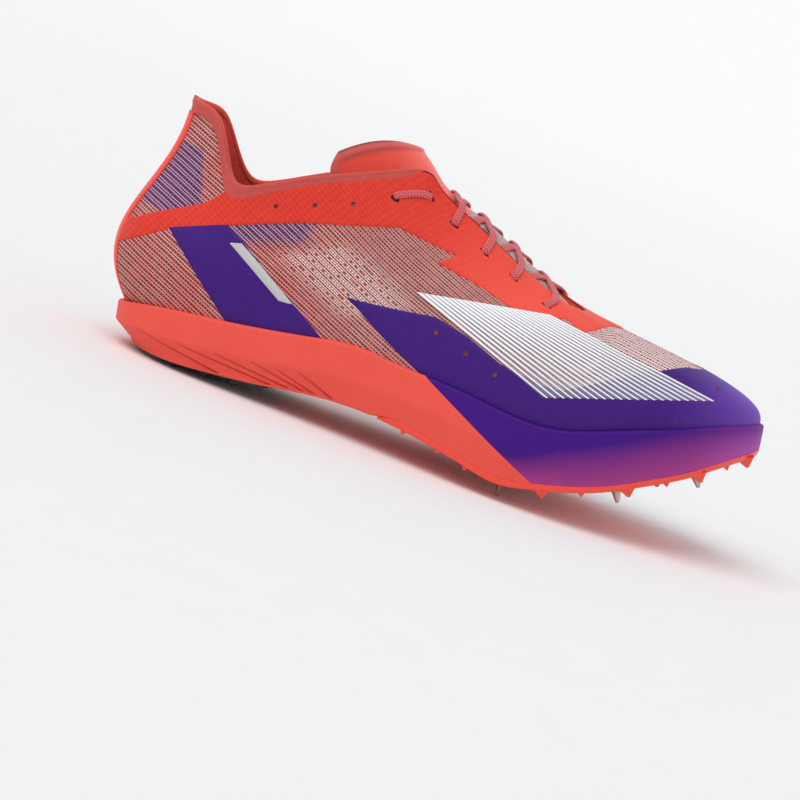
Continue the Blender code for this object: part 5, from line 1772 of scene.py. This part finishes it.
def lay_lace(knots, normals, width=LACE_WIDTH):
    """Adds a flat lace along a smooth path, its broad face turned to the normals."""
    knots, normals = np.asarray(knots, dtype=float), np.asarray(normals, dtype=float)
    spans = np.linalg.norm(np.diff(knots, axis=0), axis=1)
    places = np.concatenate([[0], np.cumsum(spans)]) / spans.sum()
    at = np.linspace(0, 1, LACE_STEPS)
    path, facing = cubic(places, knots)(at), cubic(places, normals)(at)
    run = unit(np.gradient(path, axis=0))
    broad = unit(np.cross(facing, run))
    thick = np.cross(run, broad)
    base = sum(len(p) for p in lace_points)
    length = np.concatenate([[0], np.cumsum(np.linalg.norm(np.diff(path, axis=0), axis=1))])
    for k in range(LACE_SIDES):
        angle = math.tau * k / LACE_SIDES
        a, b = squared(math.cos(angle), 0.6) / 2, squared(math.sin(angle), 0.8) / 2
        lace_points.append(path + broad * width * a + thick * LACE_THICKNESS * b)
        lace_maps.append(np.column_stack([length, np.full(LACE_STEPS, a * width)]))
    lace_faces.extend(bar_faces(range(LACE_SIDES), LACE_STEPS, base))


def edge_turn(x, medial):
    """Turn at which the throat edge of one side lies at x."""
    along = np.linspace(0.05, 0.35, 200)
    along = 1 - along if medial else along
    places = edge_curve(along)[:, 0]
    order = np.argsort(places)
    return float(np.interp(x, places[order], along[order]))


# How far the lace tilts sideways over the throat, from the slot's edge to the tucked end.
LACE_TILTS = (-0.5, -0.25, 0.0, 0.2, 0.35, 0.4)
# Shares of the way from one eyestay to the middle, and from the middle to the other.
BROW_SHARE, LATER_SHARE, HIDDEN_SHARE = 0.45, 0.55, 1.25
instep_slope = np.array((0.40, 0.0, 0.92))
out_of_slot = np.array((-0.12, 0.0, 0.14, 0.5, 0.97))
lifts = np.array((-1.6, 0.2, LACE_LIFT * 0.75, LACE_LIFT * 0.8, LACE_LIFT * 0.8))
for i in range(4):
    _, start, start_up = EYELETS[i]
    _, end, end_up = EYELETS[i + 1]
    for from_medial in (False, True):
        start_turn, next_turn = (1 - start, end) if from_medial else (start, 1 - end)
        over_turn = edge_turn(float(wall(start_turn, start_up)[0]), from_medial)
        end_turn = edge_turn(float(wall(next_turn, end_up)[0]) + TUCK_AHEAD, not from_medial)
        turns = start_turn + (over_turn - start_turn) * out_of_slot
        ups = start_up + (1 - start_up) * out_of_slot
        normal = wall_normal(turns, ups)
        first = skin(turns, ups, lifts)
        edge_start, edge_end = edge_curve(over_turn), edge_curve(end_turn)
        middle = 0.5 * (edge_start + edge_end)
        later = middle + (edge_end - middle) * LATER_SHARE
        tucked = edge_end.copy()
        hidden = middle + (edge_end - middle) * HIDDEN_SHARE
        brow = edge_start + (middle - edge_start) * BROW_SHARE
        over = 0.0 if from_medial else LACE_THICKNESS * 0.7
        middle[2] = tongue_height(*middle[:2]) + LACE_THICKNESS * 0.55 + over
        over_brow = tongue_height(*brow[:2]) + LACE_THICKNESS * 0.6
        brow[2] = max(first[-1, 2] * 0.55 + middle[2] * 0.45 + 0.2, over_brow)
        later[2] = tongue_height(*later[:2]) + LACE_THICKNESS * 0.6 + over * 0.5
        tucked[2] = tongue_height(*tucked[:2]) + LACE_THICKNESS / 2 + 0.15
        hidden[2] = tongue_height(*hidden[:2]) + LACE_THICKNESS / 2
        knots = np.vstack([first, brow, middle, later, tucked, hidden])
        tilt = np.array((0.0, -1.0 if from_medial else 1.0, 0.0))
        tilted = [instep_slope + tilt * share for share in LACE_TILTS]
        facing = np.vstack([normal[:3], normal[3] + instep_slope * 0.6, *tilted])
        lay_lace(knots, facing)
for mirror in (1, -1):
    share = np.array((-0.06, -0.03, 0.05, 0.25, 0.5, 0.75, 0.95, 1.03, 1.06))
    loop_lifts = np.array((-1.6, 0.0, 0.6, 1.0, 1.05, 1.0, 0.6, 0.0, -1.6))
    within = np.clip(share, 0, 1)
    turn = EYELETS[4][1] + (EYELETS[5][1] - EYELETS[4][1]) * share
    up = EYELETS[4][2] + (EYELETS[5][2] - EYELETS[4][2]) * share + LOOP_DROOP * (within - 0.55)
    up = up + LOOP_ARCH * np.sin(within**1.5 * math.pi)
    lay_lace(skin(turn * mirror, up, loop_lifts), wall_normal(turn * mirror, up), LOOP_WIDTH)
woven, tree, shader = new_finish("woven_lace", {"Roughness": 0.85, "Sheen Weight": 0.25})
spot = split(tree, surface_map(tree))
herring = reckon(tree, "ADD", spot[0], reckon(tree, "ABSOLUTE", spot[1]))
strand = wave(tree, reckon(tree, "MULTIPLY", herring, math.tau / LACE_TWILL))
cords = wave(tree, reckon(tree, "MULTIPLY", spot[1], math.tau / LACE_CORD))
plait = reckon(tree, "MULTIPLY", fade(tree, strand, 0.05, 0.6), scaled(tree, cords, 0.5, 0.5))
set_colour(tree, shader, mix(tree, plait, tone(168, 48, 66), tone(242, 116, 120)))
set_bump(tree, shader, plait, 0.5, 0.0005)
laces = make_piece("laces", np.vstack(lace_points), lace_faces, [woven])
set_cloth_map(laces, np.vstack(lace_maps))
fit(laces, "lace", "lace_crossing_1", "lace_crossing_2", "lace_crossing_3", "lace_crossing_4",
    "lace_loop_lateral", "lace_loop_medial")

# Vent rims: one small dark ring at each round vent punched through the films, painted shade standing in for
# the shadow round the hole.
VENT_RING, VENT_CORD, VENT_FLATNESS = 0.74, 0.29, 0.6
VENT_SIDES, VENT_CORD_SIDES = 20, 8
vent_profile = []
for angle in np.arange(VENT_CORD_SIDES) * math.tau / VENT_CORD_SIDES:
    rise = VENT_CORD * VENT_FLATNESS * math.sin(angle)
    vent_profile.append((VENT_RING + VENT_CORD * math.cos(angle), -rise))
vent = turned("vent", vent_profile, VENT_SIDES)
vent_shade = speckled("painted_vent_shade", {"Roughness": 0.7}, tone(84, 34, 40), tone(120, 54, 58), 1500.0)
vent_places = np.vstack([saddle_hole_places, forefoot_hole_places])
vent_places = np.vstack([vent_places, vent_places * (-1, 1)])
vent_turns, vent_ups = vent_places.T
vent_points = skin(vent_turns, vent_ups, FILM_LIFT)
vent_normals = wall_normal(vent_turns, vent_ups)
vents = strew("vent_rims", vent, vent_points, vent_normals, [(1, 1, 1)] * len(vent_turns), vent_shade)
fit(vents, "upper")
bpy.data.objects.remove(vent, do_unlink=True)
